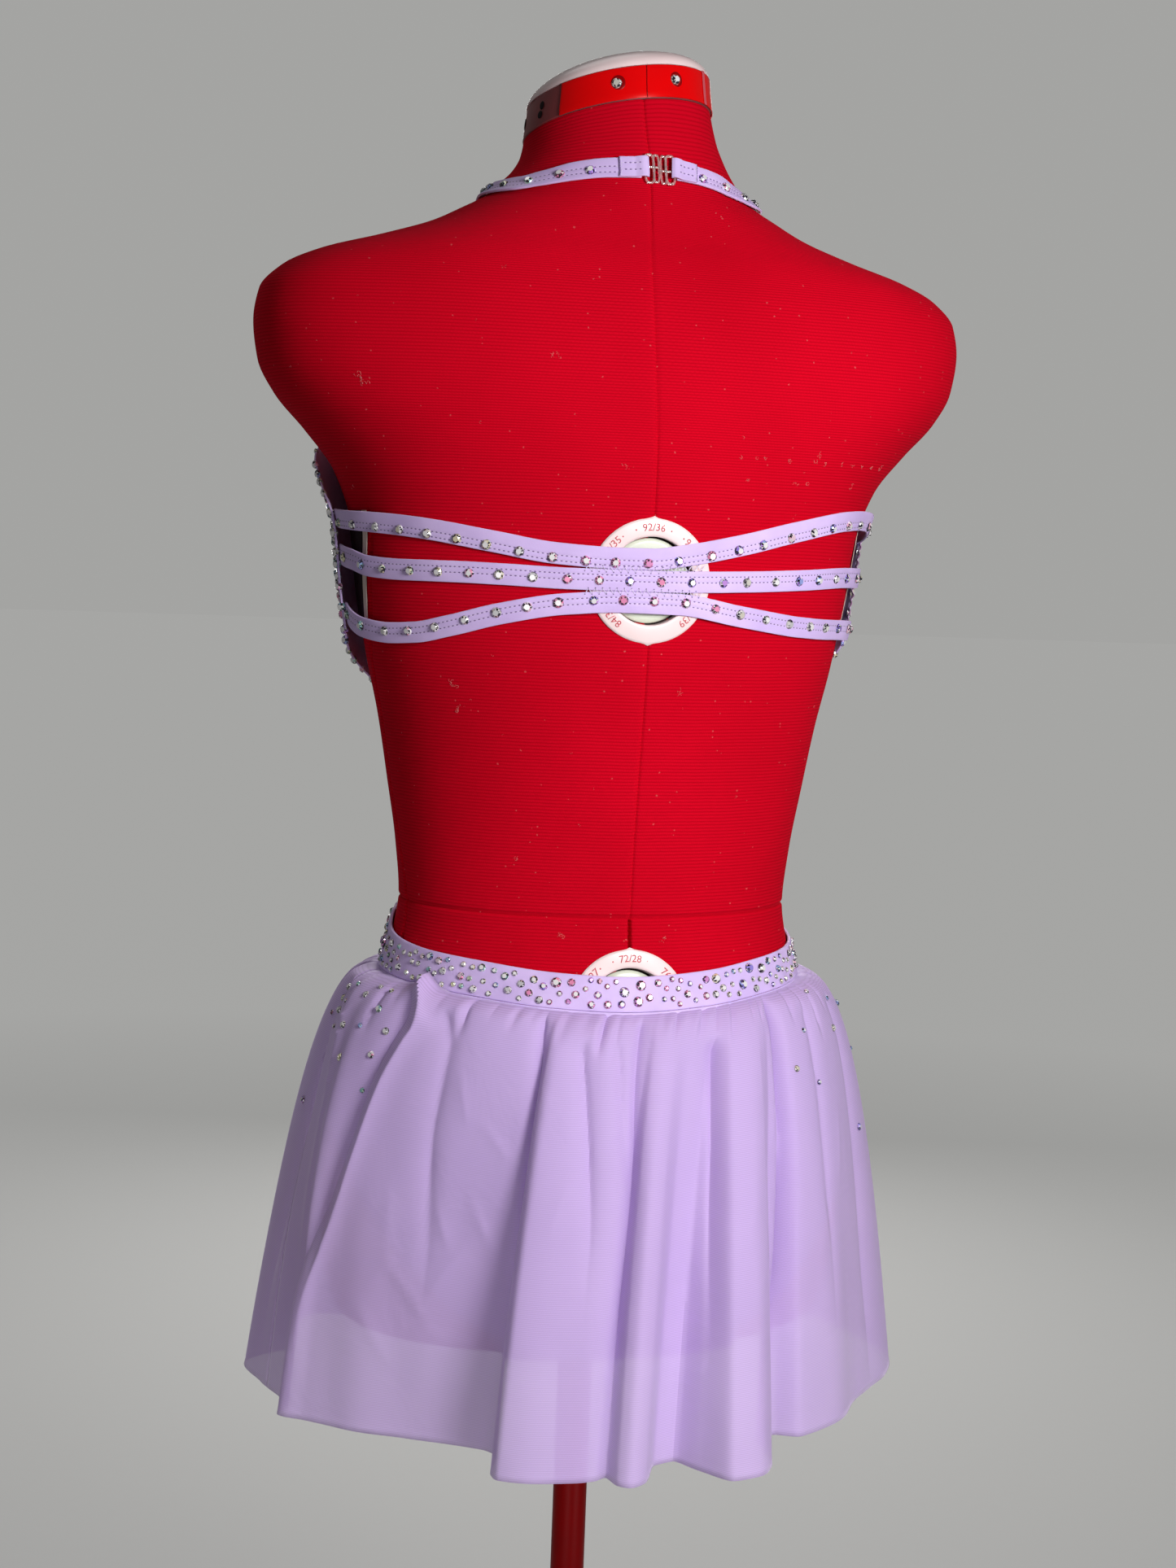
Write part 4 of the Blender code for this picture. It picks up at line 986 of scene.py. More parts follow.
def addNeckDetails(look, low, high):
    # two studs in their dimples, which take a darker red as painted shade, and the ring's holes, painted as
    # near black spots of shade
    def spotAt(turn, share, grow):
        level, angle = np.array([between(low, high, share)]), np.array([radians(turn)])
        place = neckSpot(level, angle, look["proud"] * 0.5 + grow)[0]
        ahead = neckSpot(level, angle + 0.05, grow)[0] - neckSpot(level, angle - 0.05, grow)[0]
        rise = neckSpot(level + 0.002, angle, grow)[0] - neckSpot(level - 0.002, angle, grow)[0]
        normal = np.cross(ahead, rise)
        return place, ahead, normal if normal[1] * place[1] > 0.0 else -normal

    dimples, studs = [], []
    for turn in look["studs"]:
        dimples.append((*spotAt(turn - 1.0, look["studShare"] + 0.02, 0.0008), look["dimple"]))
        place, _, normal = spotAt(turn, look["studShare"], 0.001)
        studs.append((place, normal, look["studSize"], 0.0))
    holes = [(*spotAt(turn, share, 0.0002), (along, up, 0.0006)) for turn, share, along, up in look["holes"]]
    # the dimples' darker red and the holes' near black are painted shade
    makeStitches("neckDimples", dimples, "redPaint", roundCut)
    makeStitches("neckHoles", holes, "darkPlastic", roundCut)
    makeStones("neckStuds", studs, random.Random(2))


# Dials with their numbers

dialPrint = {
    "bust": (("92/36", 0.0), ("96/38", 52.0), ("100/39", 128.0), ("84/33", 226.0), ("88/35", 308.0)),
    "waist": (("72/28", 0.0), ("76/30", 52.0), ("80/31", 128.0), ("64/25", 226.0), ("68/27", 308.0)),
    "letter": 0.0062, "radius": 0.0316, "dots": (20.0, -20.0, 36.0, -36.0), "ink": 0.00012,
}
dialProfile = (
    (0.0262, -0.004), (0.0262, 0.001), (0.0268, 0.0016), (0.0276, 0.0017), (0.0355, 0.0017),
    (0.0364, 0.0015), (0.037, 0.0009), (0.037, 0.0004), (0.032, 0.0004), (0.029, -0.004),
)


def dialSpot(centre, away, angle, out, aside=0.0):
    across = away * np.sin(angle) + aside
    level = centre + away * np.cos(angle)
    return formSpot(level, turnAt(across, level), out)


def makeDial(name):
    centre = dialShape[name]
    aways, outs = zip(*dialProfile, dialProfile[0])

    def ringPlace(u, w):
        step = w * len(dialProfile)
        away, out = (np.interp(step, range(len(row)), row) for row in (aways, outs))
        points = bell(np.sin(u * 2 * pi) / dialShape["pointWidth"], 1.0)
        points = points * np.clip((away - 0.034) / 0.003, 0.0, 1.0)
        return dialSpot(centre, away + dialShape["point"] * points, u * 2 * pi, out)

    shape = bendGrid(96, len(dialProfile), ringPlace, joined=True)
    bmesh.ops.recalc_face_normals(shape, faces=shape.faces[:])
    makePiece(f"{name}DialRing", shape, "whitePlastic", [f"form_dial_{name}"])

    def knobPlace(u, w):
        away = dialShape["knob"] * np.clip(w, 0.02, 1.0)
        rise = -0.0024 - 0.001 * ease(w, 0.93, 1.0)
        grip = 0.0026 * bell(away * np.sin(u * 2 * pi - 0.9), 0.004) * (1.0 - ease(w, 0.7, 0.92))
        return dialSpot(centre, away, u * 2 * pi, rise + grip, dialShape["knobShift"])

    # a near black disc deep under the knob: painted shade in the recess round it
    def wellPlace(u, w):
        return dialSpot(centre, dialShape["hole"] * np.clip(w, 0.02, 1.0), u * 2 * pi, -0.0042)

    for part, place, paint, node in (("Knob", knobPlace, "knobPlastic", [f"form_knob_{name}"]),
                                     ("Well", wellPlace, "darkPlastic", [])):
        shape = bendGrid(96, 30, place, joined=True)
        closeEnds(shape, 0.0005)
        makePiece(f"{name}Dial{part}", shape, paint, node, wall=0.0008 if node else 0.0)

    marks = bmesh.new()
    for text, angle in dialPrint[name]:
        addText(marks, text, radians(angle))
    for angle in dialPrint["dots"]:
        dot = bmesh.ops.create_circle(marks, cap_ends=True, segments=10, radius=0.0005)["verts"]
        place = dialPrint["radius"] * Vector((sin(radians(angle)), cos(radians(angle)), 0.0))
        bmesh.ops.translate(marks, verts=dot, vec=place)
    flat = np.array([point.co for point in marks.verts])
    away, angle = np.hypot(flat[:, 0], flat[:, 1]), np.arctan2(flat[:, 0], flat[:, 1])
    for point, spot in zip(marks.verts, dialSpot(centre, away, angle, 0.00172)):
        point.co = spot
    faceOut(marks)
    makePiece(f"{name}DialNumbers", marks, "printAndHighlightInk", wall=dialPrint["ink"])


def addText(marks, text, angle):
    words = bpy.data.curves.new("number", "FONT")
    words.body = text
    words.size = dialPrint["letter"]
    words.align_x = words.align_y = "CENTER"
    words.resolution_u = 2
    holder = bpy.data.objects.new("number", words)
    scene.collection.objects.link(holder)
    bpy.context.view_layer.update()
    mesh = bpy.data.meshes.new_from_object(holder.evaluated_get(bpy.context.evaluated_depsgraph_get()))
    bpy.data.objects.remove(holder)
    before = len(marks.verts)
    marks.from_mesh(mesh)
    marks.verts.ensure_lookup_table()
    for point in marks.verts[before:]:
        # letters run along the ring, seen from outside, where across grows to the left
        bend = angle + point.co.x / dialPrint["radius"]
        away = dialPrint["radius"] + point.co.y
        point.co = (-away * sin(bend), away * cos(bend), 0.0)
    bpy.data.meshes.remove(mesh)


makeNeckTop(neckTop)
for dialName in ("bust", "waist"):
    makeDial(dialName)
print("neck top and dials ready")


# Stand

standShape = {
    "pole": 0.011, "collar": 0.024, "hub": 0.032,
    # reach, bottom, top, width
    "leg": (
        (0.0323, 0.05, 0.084, 0.03), (0.07, 0.049, 0.081, 0.03), (0.12, 0.038, 0.066, 0.028),
        (0.17, 0.019, 0.045, 0.026), (0.222, 0, 0.025, 0.026), (0.258, 0, 0.016, 0.026),
        (0.272, 0.002, 0.012, 0.02),
    ),
}


def turnProfile(profile):
    # a half outline from the bottom to the top, turned about the pole's axis
    shape = bmesh.new()
    points = [shape.verts.new((away, 0.0, height)) for away, height in profile]
    edges = [shape.edges.new(pair) for pair in zip(points, points[1:])]
    bmesh.ops.spin(shape, geom=points + edges, cent=(0, 0, 0), axis=(0, 0, 1), angle=2 * pi, steps=72,
                   use_merge=True)
    bmesh.ops.remove_doubles(shape, verts=shape.verts[:], dist=0.000005)
    bmesh.ops.recalc_face_normals(shape, faces=shape.faces[:])
    return shape


def roundedProfile(radius, bottom, top, edge):
    corner = [(radius - edge + edge * sin(a), edge * cos(a)) for a in np.linspace(0.0, pi / 2, 5)]
    lower = [(away, bottom + edge - rise) for away, rise in corner]
    upper = [(away, top - edge + rise) for away, rise in reversed(corner)]
    return [(0.0, bottom)] + lower + upper + [(0.0, top)]


def makeStand(look):
    for name, node, edge, paint, slot in (("pole", "stand_pole", 0.0008, "redPaint", "pole_paint"),
                                          ("collar", "form_collar", 0.002, "redPlastic", "red_plastic"),
                                          ("hub", "stand_hub", 0.005, "redPlastic", "red_plastic")):
        low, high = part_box(node)
        profile = roundedProfile(look[name], low.z, high.z, edge)
        if name == "hub":  # with a groove round it
            middle, hub = len(profile) // 2, look["hub"]
            groove = [(hub, low.z + 0.018), (hub - 0.0012, low.z + 0.0188), (hub, low.z + 0.0196)]
            profile[middle:middle] = groove
        makePiece(name, turnProfile(profile), paint, [node])
    for side, turn in (("back", 0.0), ("left", 90.0), ("front", 180.0), ("right", 270.0)):
        makeLeg(look, side, radians(turn))


def makeLeg(look, side, turn):
    away = np.array((sin(turn), cos(turn), 0.0))
    aside = np.array((cos(turn), -sin(turn), 0.0))

    def place(u, w):
        reach = between(look["leg"][0][0], look["leg"][-1][0], u)
        bottom, top, width = smoothTable(look["leg"], reach).T
        angle = w * 2 * pi
        across = width / 2 * signedPower(np.cos(angle), 0.35)
        height = (bottom + top) / 2 + (top - bottom) / 2 * signedPower(np.sin(angle), 0.35)
        return away * reach[:, None] + aside * across[:, None] + np.array((0.0, 0.0, 1.0)) * height[:, None]

    shape = bendGrid(48, 32, place, joined=True)
    closeEnds(shape)
    bmesh.ops.recalc_face_normals(shape, faces=shape.faces[:])
    makePiece(f"{side}Leg", shape, "redPlastic", [f"stand_leg_{side}"])


makeStand(standShape)
print("stand ready")


# Ribbons that lie on the form

strapShape = {
    "width": 0.0125, "neckWidth": 0.013, "wall": 0.0015, "gap": 0.0009, "neckGap": 0.0012,
    "bodiceGap": 0.0021, "standOff": 0.0066, "easeStart": 58.0, "easeEnd": 90.0,
    "pitch": 0.0028, "stitch": (0.0018, 0.0005, 0.00036), "hole": (0.0016, 0.00092, 0.00044),
    "stoneStep": 0.019, "stoneSize": 0.0062,
    # strap: heights of its two stitch rows over its middle, shift of its first stone
    "rows": {"upper": (-0.001, -0.0042), "middle": (0.003, -0.0004), "lower": (0.0028, -0.0006)},
    "firstStone": {"upper": 0.01, "middle": 0.014, "lower": 0.008},
}
strapPaths = {
    # turn, level
    "upper": (
        (92.6, 1.193), (73, 1.19), (51, 1.186), (34, 1.18), (20, 1.1745), (7, 1.1728), (0, 1.173),
        (-6, 1.1755), (-20, 1.1835), (-35, 1.193), (-54, 1.201), (-72, 1.203), (-92.6, 1.195),
    ),
    "middle": (
        (92.6, 1.17), (82, 1.167), (73, 1.163), (60, 1.1615), (45, 1.1615), (32, 1.161), (17, 1.16),
        (0, 1.16), (-21, 1.1615), (-38, 1.1635), (-60, 1.166), (-92.6, 1.167),
    ),
    "lower": (
        (92.6, 1.135), (80, 1.1265), (68, 1.1235), (58, 1.1245), (46, 1.13), (33, 1.138), (18, 1.145),
        (6, 1.1472), (-6, 1.1468), (-22, 1.1405), (-41, 1.135), (-57, 1.1335), (-92.6, 1.133),
    ),
    "neck": (
        (164.8, 1.324), (162.7, 1.34), (155.3, 1.36), (139.8, 1.378), (118, 1.3905), (96, 1.3945),
        (76, 1.3935), (60, 1.3935), (48, 1.396), (34, 1.4), (20, 1.4022),
    ),
}


def measureRoute(path):
    # distance along, turn and level for close places on a path
    rows = [(place, *row) for place, row in enumerate(path)]
    fine = smoothTable(rows, np.linspace(0, len(path) - 1, (len(path) - 1) * 8 + 1))
    points = formSkin(fine[:, 1], np.radians(fine[:, 0]))
    return np.column_stack([runningSum(stepsAlong(points)), fine])


def ribbonSpot(route, along, up, out, flip=-1.0):
    # places on a ribbon: distance along it, height over its middle line and distance out of the form
    along, up = np.broadcast_arrays(np.atleast_1d(np.asarray(along, float)), np.asarray(up, float))
    turn, level = smoothTable(route, along).T
    ends = [smoothTable(route, along + step) for step in (0.003, -0.003)]
    ahead, behind = (formSkin(end[:, 1], np.radians(end[:, 0])) for end in ends)
    way = unit(ahead - behind)
    _, upward, around, normal = formFrame(level, np.radians(turn))
    side = unit(np.cross(way, normal)) * flip
    away = side * up[:, None]
    uu, ur, rr = dot(upward, upward), dot(upward, around), dot(around, around)
    au, ar = dot(away, upward), dot(away, around)
    whole = uu * rr - ur * ur
    levelStep, turnStep = (au * rr - ar * ur) / whole, (ar * uu - au * ur) / whole
    if callable(out):
        out = out(turn, level)
    spot, newNormal = liftedSpot(level + levelStep, np.radians(turn) + turnStep, out)
    return spot, newNormal, way


def dialRise(level, turn):
    rise = np.zeros_like(np.atleast_1d(level))
    for name in ("bust", "waist"):
        away = dialAway(level, turn, dialShape[name])
        start, end = (dialShape["outer"] + dialShape[key] for key in ("easeStart", "easeEnd"))
        rise = np.maximum(rise, 1.0 - ease(away, start, end))
    return dialShape["rise"] * rise


def strapOut(turn, level):
    off = strapShape["standOff"] * ease(np.abs(turn), strapShape["easeStart"], strapShape["easeEnd"])
    return strapShape["gap"] + dialRise(level, np.radians(turn)) + off


def neckOut(_, level):
    # the strap starts on the bodice's top edge
    return between(strapShape["neckGap"], strapShape["bodiceGap"], 1.0 - ease(level, 1.326, 1.34))


def makeRibbon(name, route, width, outOf, rows, node, flip=-1.0):
    length = route[-1, 0]

    def place(u, w):
        up, along = (w - 0.5) * width, u * length
        dent = sum(bell(up - row, 0.0007) for row in rows)
        pull = 0.5 + 0.5 * np.cos(along / strapShape["pitch"] * 2 * pi)
        puff = 0.00022 * (1.0 - np.abs(2 * w - 1) ** 4)
        out = outOf(*smoothTable(route, along).T) + puff - dent * (0.00018 + 0.0001 * pull)
        return ribbonSpot(route, along, up, out, flip)[0]

    shape = bendGrid(int(length / 0.0011), 18, place, lambda u, w: (w * width, u * length))
    piece = makePiece(name, shape, "lavender", [node], wall=strapShape["wall"], rim=0.0004)


def sewnSpots(route, along, up, outOf, lift, flip):
    # places on the outside of a strap, where stitches and stones sit
    raised = strapShape["wall"] + lift
    return ribbonSpot(route, along, up, lambda turn, level: outOf(turn, level) + raised, flip)


def rowStitches(route, row, outOf, flip=-1.0, last=0.004):
    # pale stitches along a row, and between them dark dashes painted as the shade of the needle holes
    found, pitch = [], strapShape["pitch"]
    for first, size in ((0.004, "stitch"), (0.004 + pitch / 2, "hole")):
        along = np.arange(first, route[-1, 0] - last, pitch)
        spots, normals, ways = sewnSpots(route, along, row, outOf, 0.00001, flip)
        found.append(stitchRow(spots, ways, normals, strapShape[size]))
    return found


def rowStones(route, up, outOf, first, draw, flip=-1.0, last=0.006):
    along = np.arange(first, route[-1, 0] - last, strapShape["stoneStep"])
    along = along + drawMany(len(along), draw.uniform, -0.0012, 0.0012)
    spots, normals, _ = sewnSpots(route, along, up, outOf, 0.0002, flip)
    sizes = strapShape["stoneSize"] * drawMany(len(along), draw.uniform, 0.94, 1.06)
    return [(spot, normal, size, stoneHue(spot, draw)) for spot, normal, size in zip(spots, normals, sizes)]


def makeBackStraps():
    draw = random.Random(11)
    stitches, holes, stones = [], [], []
    for name in ("upper", "middle", "lower"):
        route = measureRoute(strapPaths[name])
        rows = strapShape["rows"][name]
        makeRibbon(f"{name}BackStrap", route, strapShape["width"], strapOut, rows, f"back_strap_{name}")
        for row in rows:
            sewn, pierced = rowStitches(route, row, strapOut)
            stitches += sewn
            holes += pierced
        up = rows[1] if name == "middle" else sum(rows) / 2
        stones += rowStones(route, up, strapOut, strapShape["firstStone"][name], draw)
    makeStitches("strapStitches", stitches, "paleThread")
    # the dusky dashes are painted shade of the needle holes
    makeStitches("strapHoles", holes, "duskThread")
    makeStones("strapStones", stones, draw)
    makeJoinStitches(joinStitch)


joinStitch = {"from": 14.0, "to": -11.0, "count": 34, "swing": 0.0036, "width": 0.00055, "height": 0.0005,
              "holes": (0.0009, 0.0009, 0.0003)}


def makeJoinStitches(look):
    # zigzag sewing that joins the straps where they meet at the centre back
    spots, holes = [], []
    for first, last in (("upper", "middle"), ("middle", "lower")):
        turns = np.linspace(look["from"], look["to"], look["count"])
        levels = []
        for name, side in ((first, -1), (last, 1)):
            route = measureRoute(strapPaths[name])
            byTurn = np.column_stack([-route[:, 1], route[:, 2]])
            levels.append(smoothTable(byTurn, -turns)[:, 0] + side * strapShape["width"] / 2)
        swing = look["swing"] / 2 * np.where(np.arange(len(turns)) % 2, 1.0, -1.0)
        out = strapShape["gap"] + dialShape["rise"] + strapShape["wall"] + 0.0003
        ends, normals = liftedSpot(sum(levels) / 2 + swing, np.radians(turns), out)
        for here, there, normal in zip(ends, ends[1:], normals):
            way = there - here
            size = (float(np.linalg.norm(way)) * 1.08, look["width"], look["height"])
            spots.append(((here + there) / 2, way, normal, size))
            holes.append((here, way, normal, look["holes"]))
    makeStitches("joinStitches", spots, "paleThread")
    # dusky dots at the zigzag's turns: painted shade of its needle holes
    makeStitches("joinHoles", holes, "duskThread")


makeBackStraps()
print("back straps ready")


# Halter strap round the neck, with its clear clasp

claspShape = {
    "turn": -4.5, "level": 1.403, "length": 0.0098, "thickness": 0.0018, "gap": 0.0012,
    "neckRadius": 0.0695, "seam": 0.0003, "foldLength": 0.013,
    # the loops' middles, half sizes and rod radii
    "loops": (((0.0066, 0.0), (0.0028, 0.0087), 0.0008), ((0.0023, 0.0002), (0.0017, 0.0084), 0.00072)),
}


def makeNeckStraps():
    draw = random.Random(23)
    stitches, holes, stones = [], [], []
    for side, name in ((1, "left"), (-1, "right")):
        reach = degrees((claspShape["length"] + 2 * claspShape["seam"]) / claspShape["neckRadius"])
        end = reach + side * claspShape["turn"]
        path = [(side * turn, level) for turn, level in (*strapPaths["neck"], (end, claspShape["level"]))]
        route = measureRoute(path)
        flip = -1.0 if side > 0 else 1.0
        makeRibbon(f"{name}NeckStrap", route, strapShape["neckWidth"], neckOut, (0.0008, -0.003),
                   f"neck_strap_{name}", flip)
        for row in (0.001, -0.0028):
            sewn, pierced = rowStitches(route, row, neckOut, flip, claspShape["foldLength"] + 0.001)
            stitches += sewn
            holes += pierced
        stones += rowStones(route, -0.0009, neckOut, 0.012, draw, flip, claspShape["foldLength"] + 0.004)
        makeFold(name, route, flip)
    makeStitches("neckStitches", stitches, "paleThread")
    # the dusky dashes are painted shade of the needle holes
    makeStitches("neckHoles", holes, "duskThread")
    makeStones("neckStones", stones, draw)


def makeFold(name, route, flip):
    # the strap's end goes through the clasp and back over itself
    length, wall, gap = route[-1, 0], strapShape["wall"], strapShape["neckGap"]
    start = length - claspShape["foldLength"]
    reach = claspShape["length"] * 0.42

    def thicken(along):
        return 0.0014 * ease(along, length - 0.004, length + 0.001)

    def place(u, w):
        along = start + (length + reach - start) * u
        over = np.maximum(along - length, 0.0)
        lift = wall + 0.0002 + thicken(along)
        up = (w - 0.5) * strapShape["neckWidth"] * 1.04
        spot, normal, way = ribbonSpot(route, np.minimum(along, length), up, 0.0, flip)
        out = gap + lift - 0.0012 * ease(over, reach * 0.5, reach) - over**2 * 7.0
        return spot + normal * out[:, None] + way * over[:, None]

    makePiece(f"{name}StrapFold", bendGrid(40, 14, place, lambda u, w: (w * 0.013, u * 0.018)), "lavender",
              wall=0.0012, rim=0.0004)
    spots = {"paleThread": [], "duskThread": []}
    for row in (0.0026, -0.0016):
        # pale stitches, and dusky dashes between them as painted shade of the needle holes
        for first, thread, size in ((0.0022, "paleThread", "stitch"), (0.0036, "duskThread", "hole")):
            along = np.arange(start + first, length - 0.001, strapShape["pitch"])
            places, normals, ways = ribbonSpot(route, along, row, 0.0, flip)
            places = places + normals * (gap + wall + 0.00145 + thicken(along))[:, None]
            spots[thread] += stitchRow(places, ways, normals, strapShape[size])
    # a dusky bar beside the pale one: painted shade of the bartack
    for offset, thread in ((0.0004, "duskThread"), (0.0011, "paleThread")):
        bars = np.linspace(-0.0058, 0.0058, 8)
        places, normals, ways = ribbonSpot(route, np.full(8, start + offset), bars, gap + 0.003, flip)
        spots[thread] += stitchRow(places, np.cross(normals, ways), normals, strapShape["stitch"])
    for thread, rows in spots.items():
        makeStitches(f"{name}Fold{thread[:4].title()}Stitches", rows, thread)


def makeClasp(look):
    # two clear halves: each a loop for the strap, a slimmer loop that hooks on, and a cross bar
    place, _, around, normal = (item[0] for item in formFrame(look["level"], radians(look["turn"])))
    along = unit(around)
    up = unit(np.cross(normal, along))
    up = up if up[2] > 0.0 else -up
    for name, side in (("neck_clasp_eye", 1), ("neck_clasp_hook", -1)):
        shape = bmesh.new()
        for (across, height), half, radius in look["loops"]:
            addClearRod(shape, (side * across, side * height), half, radius)
        bar = bmesh.ops.create_cone(shape, cap_ends=True, segments=12, radius1=0.0007, radius2=0.0007,
                                    depth=0.006)["verts"]
        lay = Matrix.Translation((side * 0.0042, side * 0.001, 0.0)) @ Matrix.Rotation(pi / 2, 4, "Y")
        bmesh.ops.transform(shape, matrix=lay, verts=bar)
        turned = Matrix((along, up, normal)).transposed().to_4x4()
        spot = place + normal * (look["gap"] + look["thickness"] * 0.6)
        bmesh.ops.transform(shape, matrix=Matrix.Translation(Vector(spot)) @ turned, verts=shape.verts[:])
        bmesh.ops.recalc_face_normals(shape, faces=shape.faces[:])
        makePiece(f"{'eye' if side > 0 else 'hook'}Clasp", shape, "clear", [name])


def addClearRod(shape, centre, half, radius):
    # a rounded rectangular ring of round rod
    def place(u, w):
        angle, tube = u * 2 * pi, w * 2 * pi
        ring = signedPower(np.column_stack([np.cos(angle), np.sin(angle)]), 0.55)
        flat = ring * half
        outward = unit(flat / half * (1.0, 0.8) + 1e-9)
        spot = flat + centre + outward * (radius * np.cos(tube))[:, None]
        return np.column_stack([spot, radius * np.sin(tube)])

    mesh = asMesh("rod", bendGrid(56, 14, place, joined=True))
    shape.from_mesh(mesh)
    bpy.data.meshes.remove(mesh)


makeNeckStraps()
makeClasp(claspShape)
print("neck strap and clasp ready")


# Waistband

bandShape = {
    "gap": 0.0009, "wall": 0.0024, "flat": (0.047, 0.8), "stoneGap": 0.0016, "tries": 9000,
    "sizes": (0.0066, 0.005, 0.005, 0.0036, 0.0036, 0.0036),
    # turn, lower edge, upper edge
    "edges": (
        (0, 0.9, 0.9205), (20, 0.902, 0.9225), (42, 0.906, 0.927), (66, 0.909, 0.9305), (90, 0.911, 0.936),
        (105, 0.912, 0.945), (130, 0.914, 0.954), (180, 0.916, 0.958),
    ),
}


def bandEdges(turn):
    return smoothTable(bandShape["edges"], np.abs(wrapTurn(np.degrees(turn)))).T


def bandSpot(turn, share, lift=0.0):
    lower, upper = bandEdges(turn)
    level = between(lower, upper, share)
    return liftedSpot(level, turn, bandShape["gap"] + dialRise(level, turn) + lift)


def makeWaistband(look):
    def place(u, w):
        turn = (u * 2 - 1) * pi
        puff = 0.0005 * (1.0 - np.abs(2 * w - 1) ** 3)
        ripple = 0.00022 * np.sin(turn * 31 + 2 * np.sin(turn * 7)) * (1.0 - w)
        return bandSpot(turn, w, puff + ripple)[0]

    shape = bendGrid(360, 14, place, lambda u, w: (w * 0.0205, u * 0.84), joined=True)
    piece = makePiece("waistbandCloth", shape, "lavender", ["waistband"],
                      wall=look["wall"] - 0.0004, rim=0.0006)
    draw = random.Random(5)
    tries = look["tries"]
    turns = drawMany(tries, draw.uniform, -pi, pi)
    sizes = drawMany(tries, draw.choice, look["sizes"])
    lower, upper = bandEdges(turns)
    edge = (sizes / 2 + 0.0008) / (upper - lower)
    shares = edge + (1.0 - 2 * edge) * drawMany(tries, draw.random)
    places, normals = bandSpot(turns, shares, look["wall"] + 0.0002)
    spots = spaceOut(places, normals, sizes, look["stoneGap"], draw)
    makeStones("bandStones", spots, draw)
    print("waistband ready,", len(spots), "stones")


makeWaistband(bandShape)


# Bodice

bodiceShape = {
    "wall": 0.0012, "gap": 0.0021, "sideStandOff": 0.008, "easeStart": 90.0, "easeEnd": 145.0,
    "easeLow": 1.07, "easeHigh": 1.12, "cupSpan": 0.75, "split": 0.00025, "radius": 0.16,
    "flat": (0.205, 0.385),
    # level, outer turn, inner turn
    "outline": (
        (0.9586, 160, 180), (0.98, 157, 180), (1.005, 151, 180), (1.03, 143, 180), (1.055, 133, 180),
        (1.078, 122, 180), (1.098, 108, 180), (1.113, 97, 180), (1.127, 91, 180), (1.15, 91, 180),
        (1.17, 91, 180), (1.19, 91, 180), (1.202, 91, 180), (1.217, 99, 179.2), (1.232, 107.5, 177.7),
        (1.25, 128, 175.4), (1.268, 144, 173.6), (1.286, 153, 171.5), (1.304, 159, 169.2),
        (1.322, 163, 166.6),
    ),
    "edgeStones": 0.026, "tries": 5200, "sizes": (0.0066, 0.005, 0.005, 0.0036, 0.0036),
    "drape": 0.0003, "edgeRows": (0.0022, 0.0088, 0.015), "edgeStep": 0.0066, "edgeLevels": (1.085, 1.25),
    "edgeLean": 0.9, "edgeSizes": (0.006, 0.006, 0.005), "scatter": 0.03, "margin": 0.0014, "neckFrom": 1.215,
    "frayLevels": (1.128, 1.204), "frayWidth": 0.0042,
}


def bodiceOut(level, turn):
    side = 1.0 - ease(np.abs(np.degrees(turn)), bodiceShape["easeStart"], bodiceShape["easeEnd"])
    off = bodiceShape["sideStandOff"] * side * ease(level, bodiceShape["easeLow"], bodiceShape["easeHigh"])
    across = np.abs(formSkin(level, turn)[:, 0])
    spreadAt = np.full_like(across, formShape["bustSpread"])
    gapUnder = np.maximum(bustRise(spreadAt, level) - bustRise(across, level), 0.0)
    span = np.where(across < spreadAt, bodiceShape["cupSpan"] * gapUnder, 0.0)
    return bodiceShape["gap"] + off + span


def bodiceTurns(level):
    outer, inner = smoothTable(bodiceShape["outline"], level).T
    middle = np.degrees(turnAt(np.full_like(level, bodiceShape["split"]), level, back=False))
    return outer, np.minimum(inner, middle)


def bodiceSpot(side, level, share, lift=0.0):
    # share is 0 at the side edge and 1 at the centre front
    outer, inner = bodiceTurns(level)
    turn = np.radians(between(outer, inner, share))
    return liftedSpot(level, side * turn, bodiceOut(level, turn) + lift)


def makeBodice(side, name, look):
    lowest, highest = look["outline"][0][0], look["outline"][-1][0]

    def place(u, w):
        level = between(lowest, highest, w)
        hem = 0.0003 * (bell(u, 0.035) + bell(1.0 - u, 0.012))
        drape = look["drape"] * np.sin(level * 90 + u * 6.0) * (1.0 - ease(level, 0.98, 1.12))
        drape = drape * u * (1 - u) * 4
        return bodiceSpot(side, level, u, hem + drape)[0]

    shape = bendGrid(80, 130, place, lambda u, w: (u * 0.17, w * 0.38))
    piece = makePiece(f"{name}Bodice", shape, "lavender", [f"bodice_{name}"],
                      wall=look["wall"], rim=0.0003)
    draw = random.Random(31 if side > 0 else 37)
    tries = look["tries"]
    levels = drawMany(tries, draw.uniform, lowest + 0.004, highest - 0.006)
    shares = drawMany(tries, draw.random) ** 2.0
    sizes = drawMany(tries, draw.choice, look["sizes"])
    chance = drawMany(tries, draw.random)
    places, normals = bodiceSpot(side, levels, shares, look["wall"] + 0.0002)
    fromEdge = [np.linalg.norm(places - bodiceSpot(side, levels, at)[0], axis=1) for at in (0.0, 1.0)]
    nearest = np.minimum(*fromEdge)
    near = np.where(levels < look["neckFrom"], fromEdge[0], nearest)
    fade = bell(near, look["edgeStones"]) + look["scatter"]
    good = (nearest > sizes / 2 + look["margin"]) & (chance < fade)
    places, normals, sizes = (list(values[good]) for values in (places, normals, sizes))
    rowPlaces, rowNormals, rowSizes = sideRows(side, look, draw)
    places, normals = np.array([*rowPlaces, *places]), np.array([*rowNormals, *normals])
    spots = spaceOut(places, normals, np.array([*rowSizes, *sizes]), 0.001, draw)
    makeStones(f"{name}BodiceStones", spots, draw)


